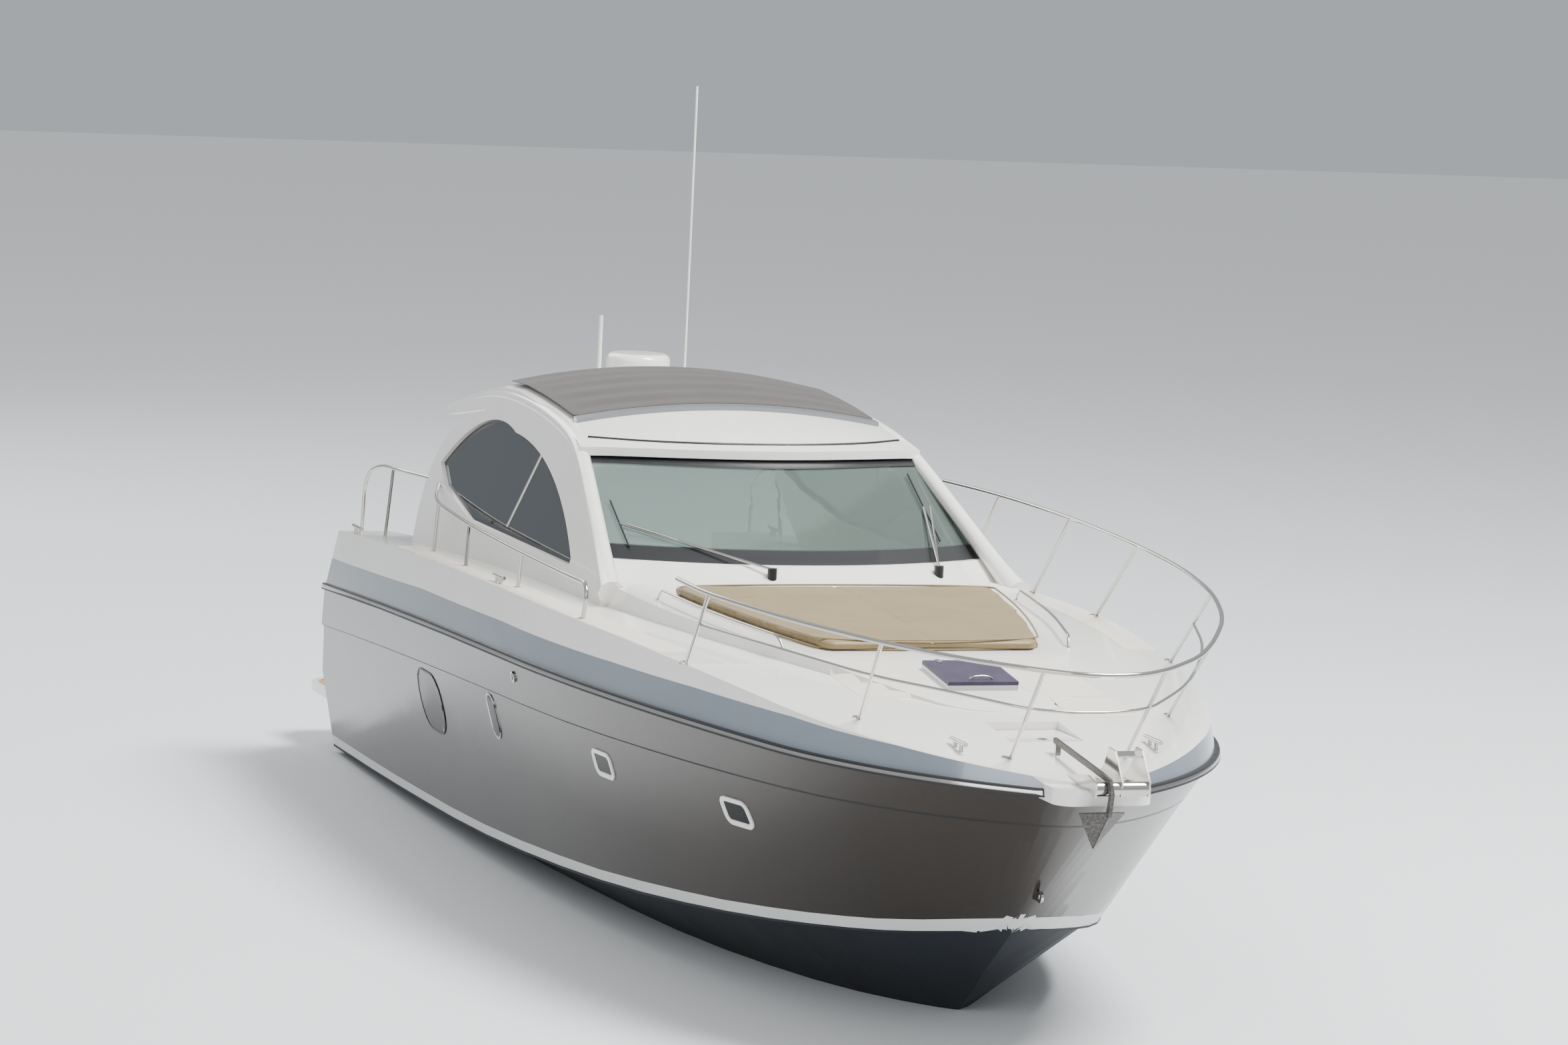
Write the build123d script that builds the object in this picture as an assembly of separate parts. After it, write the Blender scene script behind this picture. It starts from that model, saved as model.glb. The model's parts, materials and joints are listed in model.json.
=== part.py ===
"""Hardtop express motor yacht, about 12 m long, afloat.

Millimetres. X runs to the bow, Y to port, Z up. The origin is on the centreline, amidships, at the
waterline.
"""
from build123d import *
from math import asin, cos, radians, sin, sqrt, tan
import os

os.makedirs("parts", exist_ok=True)

# Running gaps: soft seat, hinge or runner, and round a moving panel
SEAT_GAP = 0.3
PANEL_GAP = 6
WIDE = 2600

# Deck plan: four tangent arcs a side, at the height PLAN_Z, leaning inboard above it
TRANSOM_X = -5600
DECK_AFT_X = -4950
BEAM_X = 300
HALF_BEAM = 1950
PLAN_Z = 1300
AFT_PLAN_R = 59000
FORE_PLAN_R = 13000
FORE_PLAN_END = 3900
BOW_X = 5500
NOSE_R = 500
SIDE_LEAN = 12

# Sheer line, where hull and deck join, and deck line: arcs in side view
SHEER_TOP_X = 2800
SHEER_TOP_Z = 1650
SHEER_R = 97000
DECK_TOP_X = 1300
DECK_TOP_Z = 2000
DECK_AFT_R = 76000
DECK_FORE_R = 26600

# Hull stations, aft to fore: x at the sheer, x and z at the keel, half-breadth and z at the chine,
# depth of the step under the sheer, and how far that step stands out
STATIONS = [
    (-5600, -5600, -600, 1430, 60, 300, 22),
    (-3600, -3600, -655, 1490, 110, 300, 22),
    (-1200, -1200, -690, 1520, 190, 290, 22),
    (1200, 1050, -680, 1450, 330, 280, 20),
    (3000, 2500, -470, 1180, 450, 260, 14),
    (4250, 3420, -80, 780, 545, 240, 6),
    (4950, 3900, 300, 380, 600, 230, 2),
    (5300, 4180, 520, 130, 645, 220, 1),
    (5424, 4330, 640, 24, 760, 215, 1),
]
STATION_STEPS = 3
CHINE_FLAT = 70
BOOT_STRIP = 60
TRANSOM_KNEE_Z = 620

# Cockpit well, walkway to the bathing platform, and the stair to the cabin
SOLE_Z = 1000
WELL_AFT_X = -4250
WELL_FORE_X = 50
WELL_HALF = 1250
AFT_DECK_Z = 1440
WALK_Y = -700
WALK_Z = 900
STEP_X = -5250
STEP_Z = 650
STAIR_X = 800
STAIR_Y = (60, 640)
STAIR_TOP = 1950
STAIR_DROP = 210
STAIR_STEPS = 3

# Engine bay under the sole: x, half-width and z of the bay; x and y of its hatch
BAY_X = (-3950, -2350)
BAY_HALF = 960
BAY_Z = (-100, 930)
HATCH_ON_SOLE_X = (-3600, -2400)
HATCH_ON_SOLE_Y = (-850, 200)
SOLE_LID_T = 40
LEDGE = 40
ENGINE_SIZE = (1200, 720, 760)
ENGINE_X = -3150
ENGINE_Y = 460

# Rub rail, and the plate on the stem that interrupts it: x of its nose, half-width, z, corner radius
RUB_OUT = 26
RUB_HALF = 22
RUB_DEEP = 15
STEM_PLATE_X = (5150, 5570)
STEM_PLATE_HALF = 290
STEM_PLATE_Z = (1578, 1668)
STEM_PLATE_R = 110

# Coachroof: side view of its top, then its plan
ROOF_STEP = [(WELL_FORE_X, 2140), (750, 2130), (2950, 2020), (4150, 1850)]
COACH_AFT_Y = 1460
COACH_MID = (2200, 1200)
COACH_FORE = (3850, 450)
COACH_TIP = 4120
COACH_SIDE = 130

# Hardtop: leaning side walls and an arched roof; rows give x, half-width, edge height and crown
WALL_Y = 1400
WALL_Z = 2100
WALL_LEAN = 16.7
WALL_T = 70
ROOF_T = 55
ROOF_SECTIONS = [
    (-200, 1230, 2760, 90),
    (-700, 1165, 2880, 105),
    (-1500, 1131, 2995, 120),
    (-2600, 1118, 3040, 130),
    (-3700, 1190, 2800, 120),
]
ROOF_STEPS = 3
ROOF_GAP_X = (-2560, -1130)
ROOF_GAP_HALF = 930
HEADER_X = -650
HEADER_BOW = 385
HEADER_HALF = 1300
ROOF_SPACE_Z = (2500, 3500)
ARCH_FORE_X = -690
PILLAR = [(760, 1750), (760, 2105)]
WING = [(-3640, 2740), (-2800, 2865)]
AFT_PILLAR = [(-3280, 2700), (-3560, 2520), (-3640, 2300)]
COAMING = [(-3600, 2080), (-3440, 1750)]
WINDOW = [(-60, 2190), (-900, 2600), (-2000, 2790), (-2950, 2720), (-3440, 2420),
          (-3180, 2290), (-2370, 2150), (-60, 2150)]
PANE_T = 8

# Windshield: x and half-width of its corners, bulge forward, height
GLASS_T = 12
SHIELD_LOW = (480, 1420, 470, 2100)
SHIELD_TOP = (-900, 1160, 330, 2960)
SHIELD_BAND = 75
SHIELD_HEAD = 35
SHIELD_FRAME = 14

# White sill under the windshield: its height, and how far it stands before and behind the glass
SILL_Z = (2050, 2250)
SILL_OUT = 60
SILL_DEEP = 90

# Roof canvas
CANVAS_X = (-2640, -1060)
CANVAS_HALF = 1060
CANVAS_T = 24
CANVAS_BAR = 70

# Foredeck: sunpad, hatch, anchor locker, bow gear
PAD_X = (1040, 2870)
PAD_HALF = (1080, 690)
PAD_T = 70
FORE_HATCH_X = 3450
FORE_HATCH_W = 440
FORE_HATCH_DEPTH = 180
FORE_HATCH_RIM = 30
FORE_HATCH_T = 22
LOCKER_X = (4300, 4640)
LOCKER_HALF = 200
LOCKER_DEPTH = 320
LOCKER_LID_T = 18
LOCKER_LEDGE = 20

# Guard rail. Posts as foot x and y, then x, y and z of the head; points between posts as (x, y, z)
RAIL_R = 14
MID_RAIL_R = 9
POST_R = 12
FOOT_DEEP = 45
BOW_POSTS = [(2800, 1545, 3310, 1595, 2435), (4150, 960, 4630, 1010, 2345), (4960, 370, 5450, 370, 2311)]
BOW_BULGES = [(4020, 1345, 2387), (5095, 715, 2325)]
BOW_NOSE = (5580, 150, 2302)
MID_SHARE = 0.6
MID_BULGES = [(3810, 1325, 2192), (4890, 705, 2112)]
MID_NOSE = (5330, 140, 2058)

# Port, the high rail goes on aft to a leg on the deck; starboard, it stops aft of its third post
PORT_POSTS = [(-1100, 1740, -550, 1762, 2562), (50, 1765, 600, 1800, 2550), (1170, 1738, 1720, 1790, 2515)]
PORT_LEG = [(-2000, 1690), (-1780, 1708, 2540)]
PORT_BULGE = (2550, 1735, 2478)
STARBOARD_END = (2860, 1630, 2460)

# Low rail on the starboard side deck, from the hardtop to its fore leg; its posts as foot x, y and head x
SIDE_RAIL = [(-3430, 1305, 2290), (-2700, 1545, 2238), (-1500, 1645, 2224), (-150, 1672, 2212),
             (1000, 1690, 2214), (1385, 1700, 2222)]
SIDE_LEG = (1300, 1712)
SIDE_POSTS = [(-2610, 1565, -2600), (-1490, 1655, -1520), (-190, 1682, -160)]

# Stern rails, grab rails
STERN_RAIL = [(-4800, 1490, 1700), (-4770, 1487, 2180), (-4400, 1470, 2290), (-3900, 1430, 2300),
              (-3590, 1330, 2290)]
STERN_POST = (-4130, 1500)
STERN_POST_HEAD = (-4140, 1450, 2300)
GRAB_RAIL = [(1250, 1190), (2000, 1105), (2700, 930)]
GRAB_R = 9
GRAB_H = 65
GRAB_END = 60

# Cleats: x and y, then length, radius, height and half the spacing of the legs
CLEATS = [(4800, 590), (-450, 1730), (-4550, 1590)]
CLEAT_L = 230
CLEAT_R = 13
CLEAT_H = 45
CLEAT_LEG = 45

# Underwater gear
PROP_X = -5020
PROP_Y = 650
PROP_Z = -610
SHAFT_SLOPE = 10
SHAFT_R = 22
SHAFT_L = 2000
BORE_GAP = 0.5
HUB_R = 48
BLADES = 4
BLADE_ROWS = [(40, 100, 20, 62), (140, 190, 14, 42), (235, 110, 7, 30)]
BRACKET_AT = (130, 260)
BRACKET_R = 40
BRACKET_LEG = (100, 18, -150)
RUDDER_X = -5400
RUDDER_TOP = -355
RUDDER_L = 500
RUDDER_CHORD = (110, 190)
RUDDER_T = 30
STOCK_R = 20
STOCK_L = 160
TAB_SIZE = (230, 520, 14)
TAB_Y = 1020

# Bathing platform, its ladder, and the gate
PLATFORM_X = -6350
PLATFORM_HALF = 1480
PLATFORM_Z = (390, 450)
PLATFORM_R = 260
LADDER_Y = -1000
LADDER_W = 360
LADDER_L = 640
LADDER_R = 12
LADDER_RUNGS = (60, 180, 4)
LADDER_HINGE = (-6372, 478)
LADDER_PIN_R = 6
LADDER_LUG_T = 10
LADDER_LUG_GAP = 8
GATE_X = (-4930, -4900)
GATE_TOP = 1600
GATE_BARREL_R = 7
GATE_KNUCKLES = (1010, 1480)
GATE_KNUCKLE_L = 60

# Helm, seats and cockpit furniture
DASH_Y = (-1180, -240)
DASH = [(WELL_FORE_X, SOLE_Z), (-250, SOLE_Z), (-250, 1400), (-340, 1450), (-110, 1945), (WELL_FORE_X, 2010)]
WHEEL_Y = -700
WHEEL_R = 185
WHEEL_RIM_R = 14
WHEEL_RISE = 40
WHEEL_HUB_R = 38
SPOKE = (30, 10)
COLUMN_R = 35
COLUMN_L = 70
DOOR_T = 28
DOOR_GAP_Z = 10
DOOR_OVERLAP = 25
RUNNER_T = 12
HELM_SEAT_X = (-1330, -760)
HELM_SEAT_Y = (-1170, -270)
HELM_SEAT_Z = (1480, 1600)
HELM_BACK = [(0, 1600), (120, 1600), (40, 2080), (-60, 2080)]
HELM_SEAT_ROUND = 24
FURNITURE_GAP = 6
SOFA_X = (-4230, -1750)
SOFA_Z = 1400
SOFA_PAD_T = 110
SOFA_DEPTH = 560
SOFA_BACK = (130, 330)
AFT_PAD_T = 90
AFT_PAD_R = 60
BAR_X = (-1650, -800)
BAR_DEEP = 554
BAR_Z = 1850
BAR_TOP = (20, 35)
SINK_R = 150
SINK_DEEP = 130
TABLE_AT = (-2900, 480)
TABLE_SIZE = (900, 420, 30)
TABLE_TOP = 1700
TABLE_R = 80
TABLE_POST_R = 38
TABLE_FOOT = (120, 14)

# Roof gear
RADAR_X = -3080
RADAR_R = 225
RADAR_H = 165
AERIALS = [(-3060, -290, 14, 420), (-3120, 360, 8, 2050)]

# Wipers: y of the pivot, y of the blade, and the heights of the blade's two ends
WIPERS = [(-320, -1110, 2320, 2560), (860, 1010, 2360, 2720)]
WIPER_FOOT_Z = 2205
WIPER_FOOT_OFF = 87
WIPER_FOOT_R = 30
WIPER_FOOT_H = 45
BLADE_OFF = 40
ARM_R = 8
BLADE_R = 6

# Windlass in the anchor locker: x, half-width of its foot, height of its drum, radii of drum and rims
WINDLASS_X = (4310, 4430)
WINDLASS_HALF = 80
WINDLASS_FOOT = 45
DRUM_Z = 95
DRUM_R = 44
RIM_R = 56
RIM_T = 16

# Bow rollers: channels as y of the three cheeks, their side view from the stem plate's top, floor, rollers
CHEEK_Y = [-118, 34, 196]
CHEEK_T = 10
LOW_CHEEK = [(5130, -8), (5590, -8), (5672, -22), (5682, 56), (5560, 82), (5130, 20)]
TALL_CHEEK = [(5300, -8), (5590, -8), (5672, -22), (5682, 60), (5560, 215), (5470, 222), (5420, 120),
              (5300, 20)]
CHANNEL_FLOOR = [(5300, -2), (5590, -2), (5590, 8), (5300, 8)]
ROLLER_AT = (5636, 16)
ROLLER_R = 42
BOX_TOP = [(5465, 188), (5572, 178), (5572, 188), (5465, 198)]

# Anchor in the starboard channel: shank over the roller, and a plough fluke under the stem plate
ANCHOR_Y = -42
SHANK = [(4880, 1846), (5560, 1768), (5692, 1748), (5732, 1672), (5708, 1540), (5668, 1540), (5694, 1660),
         (5668, 1722), (5560, 1738), (4880, 1816)]
SHANK_HALF = 10
CHOCK_X = (4905, 4935)
CHOCK_HALF = 16
PLOUGH = [(5700, 0, 1566), (5590, 135, 1545), (5490, 0, 1330)]
PLOUGH_T = 9

# Lifting and mooring eyes: bore radius, plate thickness, reach
EYE_R = 14
EYE_T = 16
EYE_OUT = 70
BOW_EYE_Z = 900
STERN_EYE = (-5600, 900, 180)


def arc_z(x, top_x, top_z, radius):
    """Height of a shallow arc at x."""
    return top_z - radius + sqrt(radius**2 - (x - top_x)**2)


def sheer_z(x):
    return arc_z(x, SHEER_TOP_X, SHEER_TOP_Z, SHEER_R)


def deck_z(x):
    return arc_z(x, DECK_TOP_X, DECK_TOP_Z, DECK_AFT_R if x < DECK_TOP_X else DECK_FORE_R)


def lean_in(z):
    """How far the topside band stands inboard of the plan at height z."""
    return (z - PLAN_Z) * tan(radians(SIDE_LEAN))


def plan_arcs():
    """Centre and radius of each port arc, aft to fore, with the direction in which each ends."""
    turn = asin((FORE_PLAN_END - BEAM_X) / FORE_PLAN_R)
    ux, uy = sin(turn), cos(turn)
    px, py = FORE_PLAN_END, HALF_BEAM - FORE_PLAN_R * (1 - uy)
    nose = BOW_X - NOSE_R
    dx, dy = px - nose, py
    shoulder = (dx**2 + dy**2 - NOSE_R**2) / (2 * (dx * ux + dy * uy - NOSE_R))
    cx, cy = px - shoulder * ux, py - shoulder * uy
    reach = shoulder - NOSE_R
    vx, vy = (nose - cx) / reach, -cy / reach
    return [
        ((BEAM_X, HALF_BEAM - AFT_PLAN_R), AFT_PLAN_R, (0, 1)),
        ((BEAM_X, HALF_BEAM - FORE_PLAN_R), FORE_PLAN_R, (ux, uy)),
        ((cx, cy), shoulder, (vx, vy)),
        ((nose, 0), NOSE_R, (1, 0)),
    ]


def half_breadth(x, inset):
    """Half-breadth of the plan at x, with the outline moved in by inset."""
    for (cx, cy), radius, (ux, uy) in plan_arcs():
        r = radius - inset
        if x <= cx + r * ux:
            return cy + sqrt(r**2 - (x - cx)**2)
    return 0


def plan_face(inset, z, aft_x):
    """Outline of the deck in plan, closed across the stern."""
    first = Vector(aft_x, half_breadth(aft_x, inset), z)
    start = first
    port = []
    for (cx, cy), radius, (ux, uy) in plan_arcs():
        r = radius - inset
        centre = Vector(cx, cy, z)
        end = Vector(cx + r * ux, cy + r * uy, z)
        middle = (start + end) * 0.5 - centre
        port.append(ThreePointArc(start, centre + middle.normalized() * r, end))
        start = end
    stern = Line(first, Vector(first.X, -first.Y, z))
    edges = port + [mirror(edge, Plane.XZ) for edge in port] + [stern]
    return make_face(edges)


def side_slab(edges):
    """Prism right across the boat, from the edges of its outline in side view."""
    return extrude(Plane.XZ * make_face(edges), WIDE, both=True)


def across(points, y0, y1):
    """Prism between two y values, from the corners of its outline in side view."""
    outline = Plane.XZ.offset(-y1) * make_face(Polyline(*points, points[0]))
    return extrude(outline, y1 - y0)


def under(top_x, top_z, aft_r, fore_r, floor):
    """Everything below an arched line in side view."""
    x0, x1 = TRANSOM_X - 400, BOW_X + 400
    z0 = arc_z(x0, top_x, top_z, aft_r)
    z1 = arc_z(x1, top_x, top_z, fore_r)
    am, fm = (x0 + top_x) / 2, (x1 + top_x) / 2
    return side_slab([
        ThreePointArc((x0, z0), (am, arc_z(am, top_x, top_z, aft_r)), (top_x, top_z)),
        ThreePointArc((top_x, top_z), (fm, arc_z(fm, top_x, top_z, fore_r)), (x1, z1)),
        Polyline((x1, z1), (x1, floor), (x0, floor), (x0, z0)),
    ])


def block(x0, x1, y0, y1, z0, z1):
    """Box between two corners."""
    return Pos((x0 + x1) / 2, (y0 + y1) / 2, (z0 + z1) / 2) * Box(x1 - x0, y1 - y0, z1 - z0)


def largest(shape, count=1):
    """The biggest solids of a shape, without its slivers."""
    ordered = sorted(shape.solids(), key=lambda solid: -solid.volume)
    return Part() + ordered[:count]


def both_sides(shape):
    return Part() + [shape, mirror(shape, Plane.XZ)]


def fair_rows(rows, steps):
    """Rows of a table with smooth rows between them, by the Catmull-Rom rule."""
    ends = [rows[0]] + rows + [rows[-1]]
    fair = []
    for i in range(len(rows) - 1):
        a, b, c, d = ends[i:i + 4]
        for k in range(steps):
            u = k / steps
            fair.append([
                q + 0.5 * u * (r - p + u * (2 * p - 5 * q + 4 * r - s + u * (3 * (q - r) + s - p)))
                for p, q, r, s in zip(a, b, c, d)
            ])
    return fair + [rows[-1]]


def hull_section(sheer_x, keel_x, keel_z, chine_y, chine_z, step_drop, step_out):
    """One station of the hull, in a plane tilted with the stem."""
    top_z = sheer_z(sheer_x)
    top_y = half_breadth(sheer_x, lean_in(top_z))
    flat = min(CHINE_FLAT, chine_y / 3)

    def at(y, z):
        return Vector(keel_x + (sheer_x - keel_x) * (z - keel_z) / (top_z - keel_z), y, z)

    def side_y(z):
        return chine_y + (top_y - chine_y) * (z - chine_z) / (top_z - chine_z)
    step_z = top_z - step_drop
    over_z = top_z + 90
    side = [
        at(chine_y - flat, chine_z - 6),
        at(chine_y, chine_z - 14),
        at(chine_y - 1, chine_z + 2),
        at(side_y(chine_z + BOOT_STRIP), chine_z + BOOT_STRIP),
        at(side_y(step_z - 14) + step_out * 0.2, step_z - 14),
        at(side_y(step_z) + step_out, step_z),
        at(side_y(over_z), over_z),
    ]
    other = [Vector(p.X, -p.Y, p.Z) for p in reversed(side)]
    return Wire.make_polygon([at(0, keel_z)] + side + other, close=True)


def rod(plane, radius, low, high):
    """Cylinder on a plane's Z axis between two distances."""
    return plane * (Pos(0, 0, (low + high) / 2) * Cylinder(radius, high - low))


def bent_path(points):
    """Line through points, each bend as large as its two runs allow."""
    path = [Vector(*p) for p in points]
    if len(path) == 2:
        return Wire([Edge.make_line(path[0], path[1])])
    bends = []
    for a, b, c in zip(path, path[1:], path[2:]):
        turn = radians((b - a).get_angle(c - b))
        bends.append(0.45 * min((b - a).length, (c - b).length) / tan(turn / 2))
    return FilletPolyline(*path, radius=bends).wire()


def tube(path, radius):
    start = Plane(origin=path @ 0, z_dir=path % 0)
    return Part() + sweep(start * Circle(radius), path=path)


def strut(a, b, radius):
    """Straight tube between two points."""
    start, end = Vector(*a), Vector(*b)
    return rod(Plane(start, z_dir=end - start), radius, 0, (end - start).length)


def stair_space():
    """Way down to the cabin behind the companionway door."""
    y0, y1 = STAIR_Y
    space = block(WELL_FORE_X, STAIR_X, y0, y1, SOLE_Z, STAIR_TOP)
    run = (STAIR_X - WELL_FORE_X) / STAIR_STEPS
    for k in range(1, STAIR_STEPS):
        space += block(WELL_FORE_X + k * run, STAIR_X, y0, y1, SOLE_Z - k * STAIR_DROP, SOLE_Z)
    return space


def well():
    """Space of the cockpit, the walkway and the aft deck, to be cut from hull and deck."""
    top = 2600
    space = block(WELL_AFT_X, WELL_FORE_X, -WELL_HALF, WELL_HALF, SOLE_Z, top)
    space += block(DECK_AFT_X - 500, WELL_AFT_X, WALK_Y, WELL_HALF, AFT_DECK_Z, top)
    space += block(STEP_X, WELL_AFT_X, -WELL_HALF, WALK_Y, WALK_Z, top)
    space += block(TRANSOM_X - 100, STEP_X, -WELL_HALF, WALK_Y, STEP_Z, top)
    return space + stair_space()


def shaft_frame(side):
    """Plane on the propeller with its Z axis along the shaft, pointing forward and up."""
    slope = radians(SHAFT_SLOPE)
    return Plane((PROP_X, side * PROP_Y, PROP_Z), x_dir=(0, 1, 0), z_dir=(cos(slope), 0, sin(slope)))


def hull():
    wires = [hull_section(*row) for row in fair_rows(STATIONS, STATION_STEPS)]
    form = Part() + Solid.make_loft(wires, ruled=True)
    form &= under(SHEER_TOP_X, SHEER_TOP_Z, SHEER_R, SHEER_R, -1500)
    knee = (TRANSOM_X - 1, TRANSOM_KNEE_Z)
    form -= side_slab([Polyline(knee, (DECK_AFT_X, sheer_z(DECK_AFT_X)), (DECK_AFT_X, 2500),
                                (-7000, 2500), (-7000, TRANSOM_KNEE_Z), knee)])
    form -= well() + locker_space() + stem_plate()
    form -= block(*BAY_X, -BAY_HALF, BAY_HALF, *BAY_Z)
    (x0, x1), (y0, y1) = HATCH_ON_SOLE_X, HATCH_ON_SOLE_Y
    form -= block(x0, x1, y0, y1, BAY_Z[1] - 10, SOLE_Z)
    form -= block(x0 - LEDGE, x1 + LEDGE, y0 - LEDGE, y1 + LEDGE, SOLE_Z - SOLE_LID_T, SOLE_Z)
    for side in (1, -1):
        form -= rod(shaft_frame(side), SHAFT_R + BORE_GAP, 200, SHAFT_L + 5)
        form -= rod(Plane((RUDDER_X, side * PROP_Y, RUDDER_TOP)), STOCK_R + BORE_GAP, 0, STOCK_L + 2)
    return form


def coach_face(inset, z):
    """Plan of the coachroof, moved in by inset."""
    aft = (WELL_FORE_X, COACH_AFT_Y - inset, z)
    mid = (COACH_MID[0], COACH_MID[1] - inset, z)
    fore = (COACH_FORE[0] - inset / 3, COACH_FORE[1] - inset, z)
    port = ThreePointArc(aft, mid, fore)
    nose = ThreePointArc(fore, (COACH_TIP - inset, 0, z), (fore[0], -fore[1], z))
    stern = Line(aft, (aft[0], -aft[1], z))
    return make_face([port, mirror(port, Plane.XZ), nose, stern])


def hatch_plane():
    """Plane on the sloping coachroof under the foredeck hatch."""
    (x0, z0), (x1, z1) = ROOF_STEP[2:4]
    z = z0 + (z1 - z0) * (FORE_HATCH_X - x0) / (x1 - x0)
    return Plane((FORE_HATCH_X, 0, z), x_dir=(x1 - x0, 0, z1 - z0), z_dir=(z0 - z1, 0, x1 - x0))


def locker_z():
    """Height of the anchor locker's lid, flush at its fore edge."""
    return deck_z(LOCKER_X[1] + LOCKER_LEDGE)


def locker_space():
    return block(*LOCKER_X, -LOCKER_HALF, LOCKER_HALF, locker_z() - LOCKER_DEPTH, 2200)


def deck():
    low, high = PLAN_Z - 150, DECK_TOP_Z + 100
    band = Part() + loft([plan_face(lean_in(z), z, DECK_AFT_X) for z in (low, high)])
    band &= under(DECK_TOP_X, DECK_TOP_Z, DECK_AFT_R, DECK_FORE_R, 1000)
    band -= under(SHEER_TOP_X, SHEER_TOP_Z, SHEER_R, SHEER_R, 900)
    coach = Part() + loft([coach_face(0, 1700), coach_face(COACH_SIDE, 2200)])
    last = ROOF_STEP[-1]
    coach &= side_slab([Polyline(*ROOF_STEP, (last[0], 1700), (WELL_FORE_X, 1700), ROOF_STEP[0])])
    form = band + coach + (shield_strip(SILL_OUT, SILL_DEEP, *SILL_Z) & between_walls())
    form -= well()
    inner = FORE_HATCH_W - 2 * FORE_HATCH_RIM
    form -= hatch_plane() * Box(inner, inner, 2 * FORE_HATCH_DEPTH)
    form -= locker_space()
    x0, x1 = LOCKER_X
    reach = LOCKER_LEDGE + PANEL_GAP
    half = LOCKER_HALF + reach
    form -= block(x0 - reach, x1 + reach, -half, half, locker_z() - LOCKER_LID_T, 2200)
    return form + stem_plate()


def stem_plate():
    """Plate on the stem under the bow rollers, with a rounded nose."""
    plate = block(*STEM_PLATE_X, -STEM_PLATE_HALF, STEM_PLATE_HALF, *STEM_PLATE_Z)
    return fillet(plate.edges().filter_by(Axis.Z).sort_by(Axis.X)[-2:], STEM_PLATE_R)


def rub_rail(hull_part, deck_part):
    low, high = PLAN_Z - 150, DECK_TOP_Z
    outer = Part() + loft([plan_face(lean_in(z) - RUB_OUT, z, DECK_AFT_X) for z in (low, high)])
    outer &= under(SHEER_TOP_X, SHEER_TOP_Z + RUB_HALF, SHEER_R, SHEER_R, 900)
    outer -= under(SHEER_TOP_X, SHEER_TOP_Z - RUB_HALF, SHEER_R, SHEER_R, 800)
    inner = Part() + loft([plan_face(lean_in(z) + RUB_DEEP, z, DECK_AFT_X - 10) for z in (low, high)])
    return largest(outer - inner - hull_part - deck_part, 2)


def roof_wire(row, spare, low, high):
    """Arched strip across the roof, spare narrower than it, between two heights over its outer face."""
    x, half, edge_z, crown = row
    radius = (half**2 + crown**2) / (2 * crown)
    w = half - spare
    ends = edge_z + sqrt(radius**2 - w**2) - radius + crown
    middle = edge_z + crown
    return Wire([
        ThreePointArc((x, -w, ends + high), (x, 0, middle + high), (x, w, ends + high)),
        Line((x, w, ends + high), (x, w, ends + low)),
        ThreePointArc((x, w, ends + low), (x, 0, middle + low), (x, -w, ends + low)),
        Line((x, -w, ends + low), (x, -w, ends + high)),
    ])


def roof_band(spare, low, high):
    rows = fair_rows(ROOF_SECTIONS, ROOF_STEPS)
    return Part() + Solid.make_loft([roof_wire(row, spare, low, high) for row in rows], ruled=True)


def wall_slab(low, high):
    """Both leaning side walls, between two depths inside their outer faces."""
    lean = tan(radians(WALL_LEAN))

    def y(z, depth):
        return WALL_Y - lean * (z - WALL_Z) - depth
    z0, z1 = 1700, 3200
    x0, x1 = -4200, 1200
    corners = [(y(z0, low), z0), (y(z1, low), z1), (y(z1, high), z1), (y(z0, high), z0)]
    outline = make_face(Polyline(*corners, corners[0]))
    return both_sides(extrude(Plane((x0, 0, 0), x_dir=(0, 1, 0), z_dir=(1, 0, 0)) * outline, x1 - x0))


def window_slab():
    return side_slab([
        ThreePointArc(*WINDOW[0:3]),
        ThreePointArc(*WINDOW[2:5]),
        Polyline(*WINDOW[4:], WINDOW[0]),
    ])


def arch_slab():
    """Side view of the hardtop: pillar, roof edge, wing, notch and aft pillar."""
    edge = [(row[0], row[2]) for row in fair_rows(ROOF_SECTIONS, ROOF_STEPS) if row[0] <= ARCH_FORE_X]
    return side_slab([
        Polyline(*PILLAR, *edge, *WING, AFT_PILLAR[0]),
        ThreePointArc(*AFT_PILLAR),
        Polyline(AFT_PILLAR[-1], *COAMING, PILLAR[0]),
    ])


def header_plan():
    """Everything behind the bowed front edge of the roof."""
    half = HEADER_HALF
    x = HEADER_X
    front = ThreePointArc((x, -half, 0), (x + HEADER_BOW, 0, 0), (x, half, 0))
    back = Polyline((x, half, 0), (-4500, half, 0), (-4500, -half, 0), (x, -half, 0))
    return extrude(make_face([front, back]), 4000)


def hardtop(deck_part):
    """Side walls and roof, with its windows and the opening under the canvas."""
    form = wall_slab(0, WALL_T) & arch_slab()
    form += roof_band(0, -ROOF_T, 0) & header_plan()
    form -= window_slab()
    form -= block(*ROOF_GAP_X, -ROOF_GAP_HALF, ROOF_GAP_HALF, *ROOF_SPACE_Z)
    return largest(form - deck_part)


def side_glass():
    return wall_slab(WALL_T / 2 - PANE_T / 2, WALL_T / 2 + PANE_T / 2) & window_slab()


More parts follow.
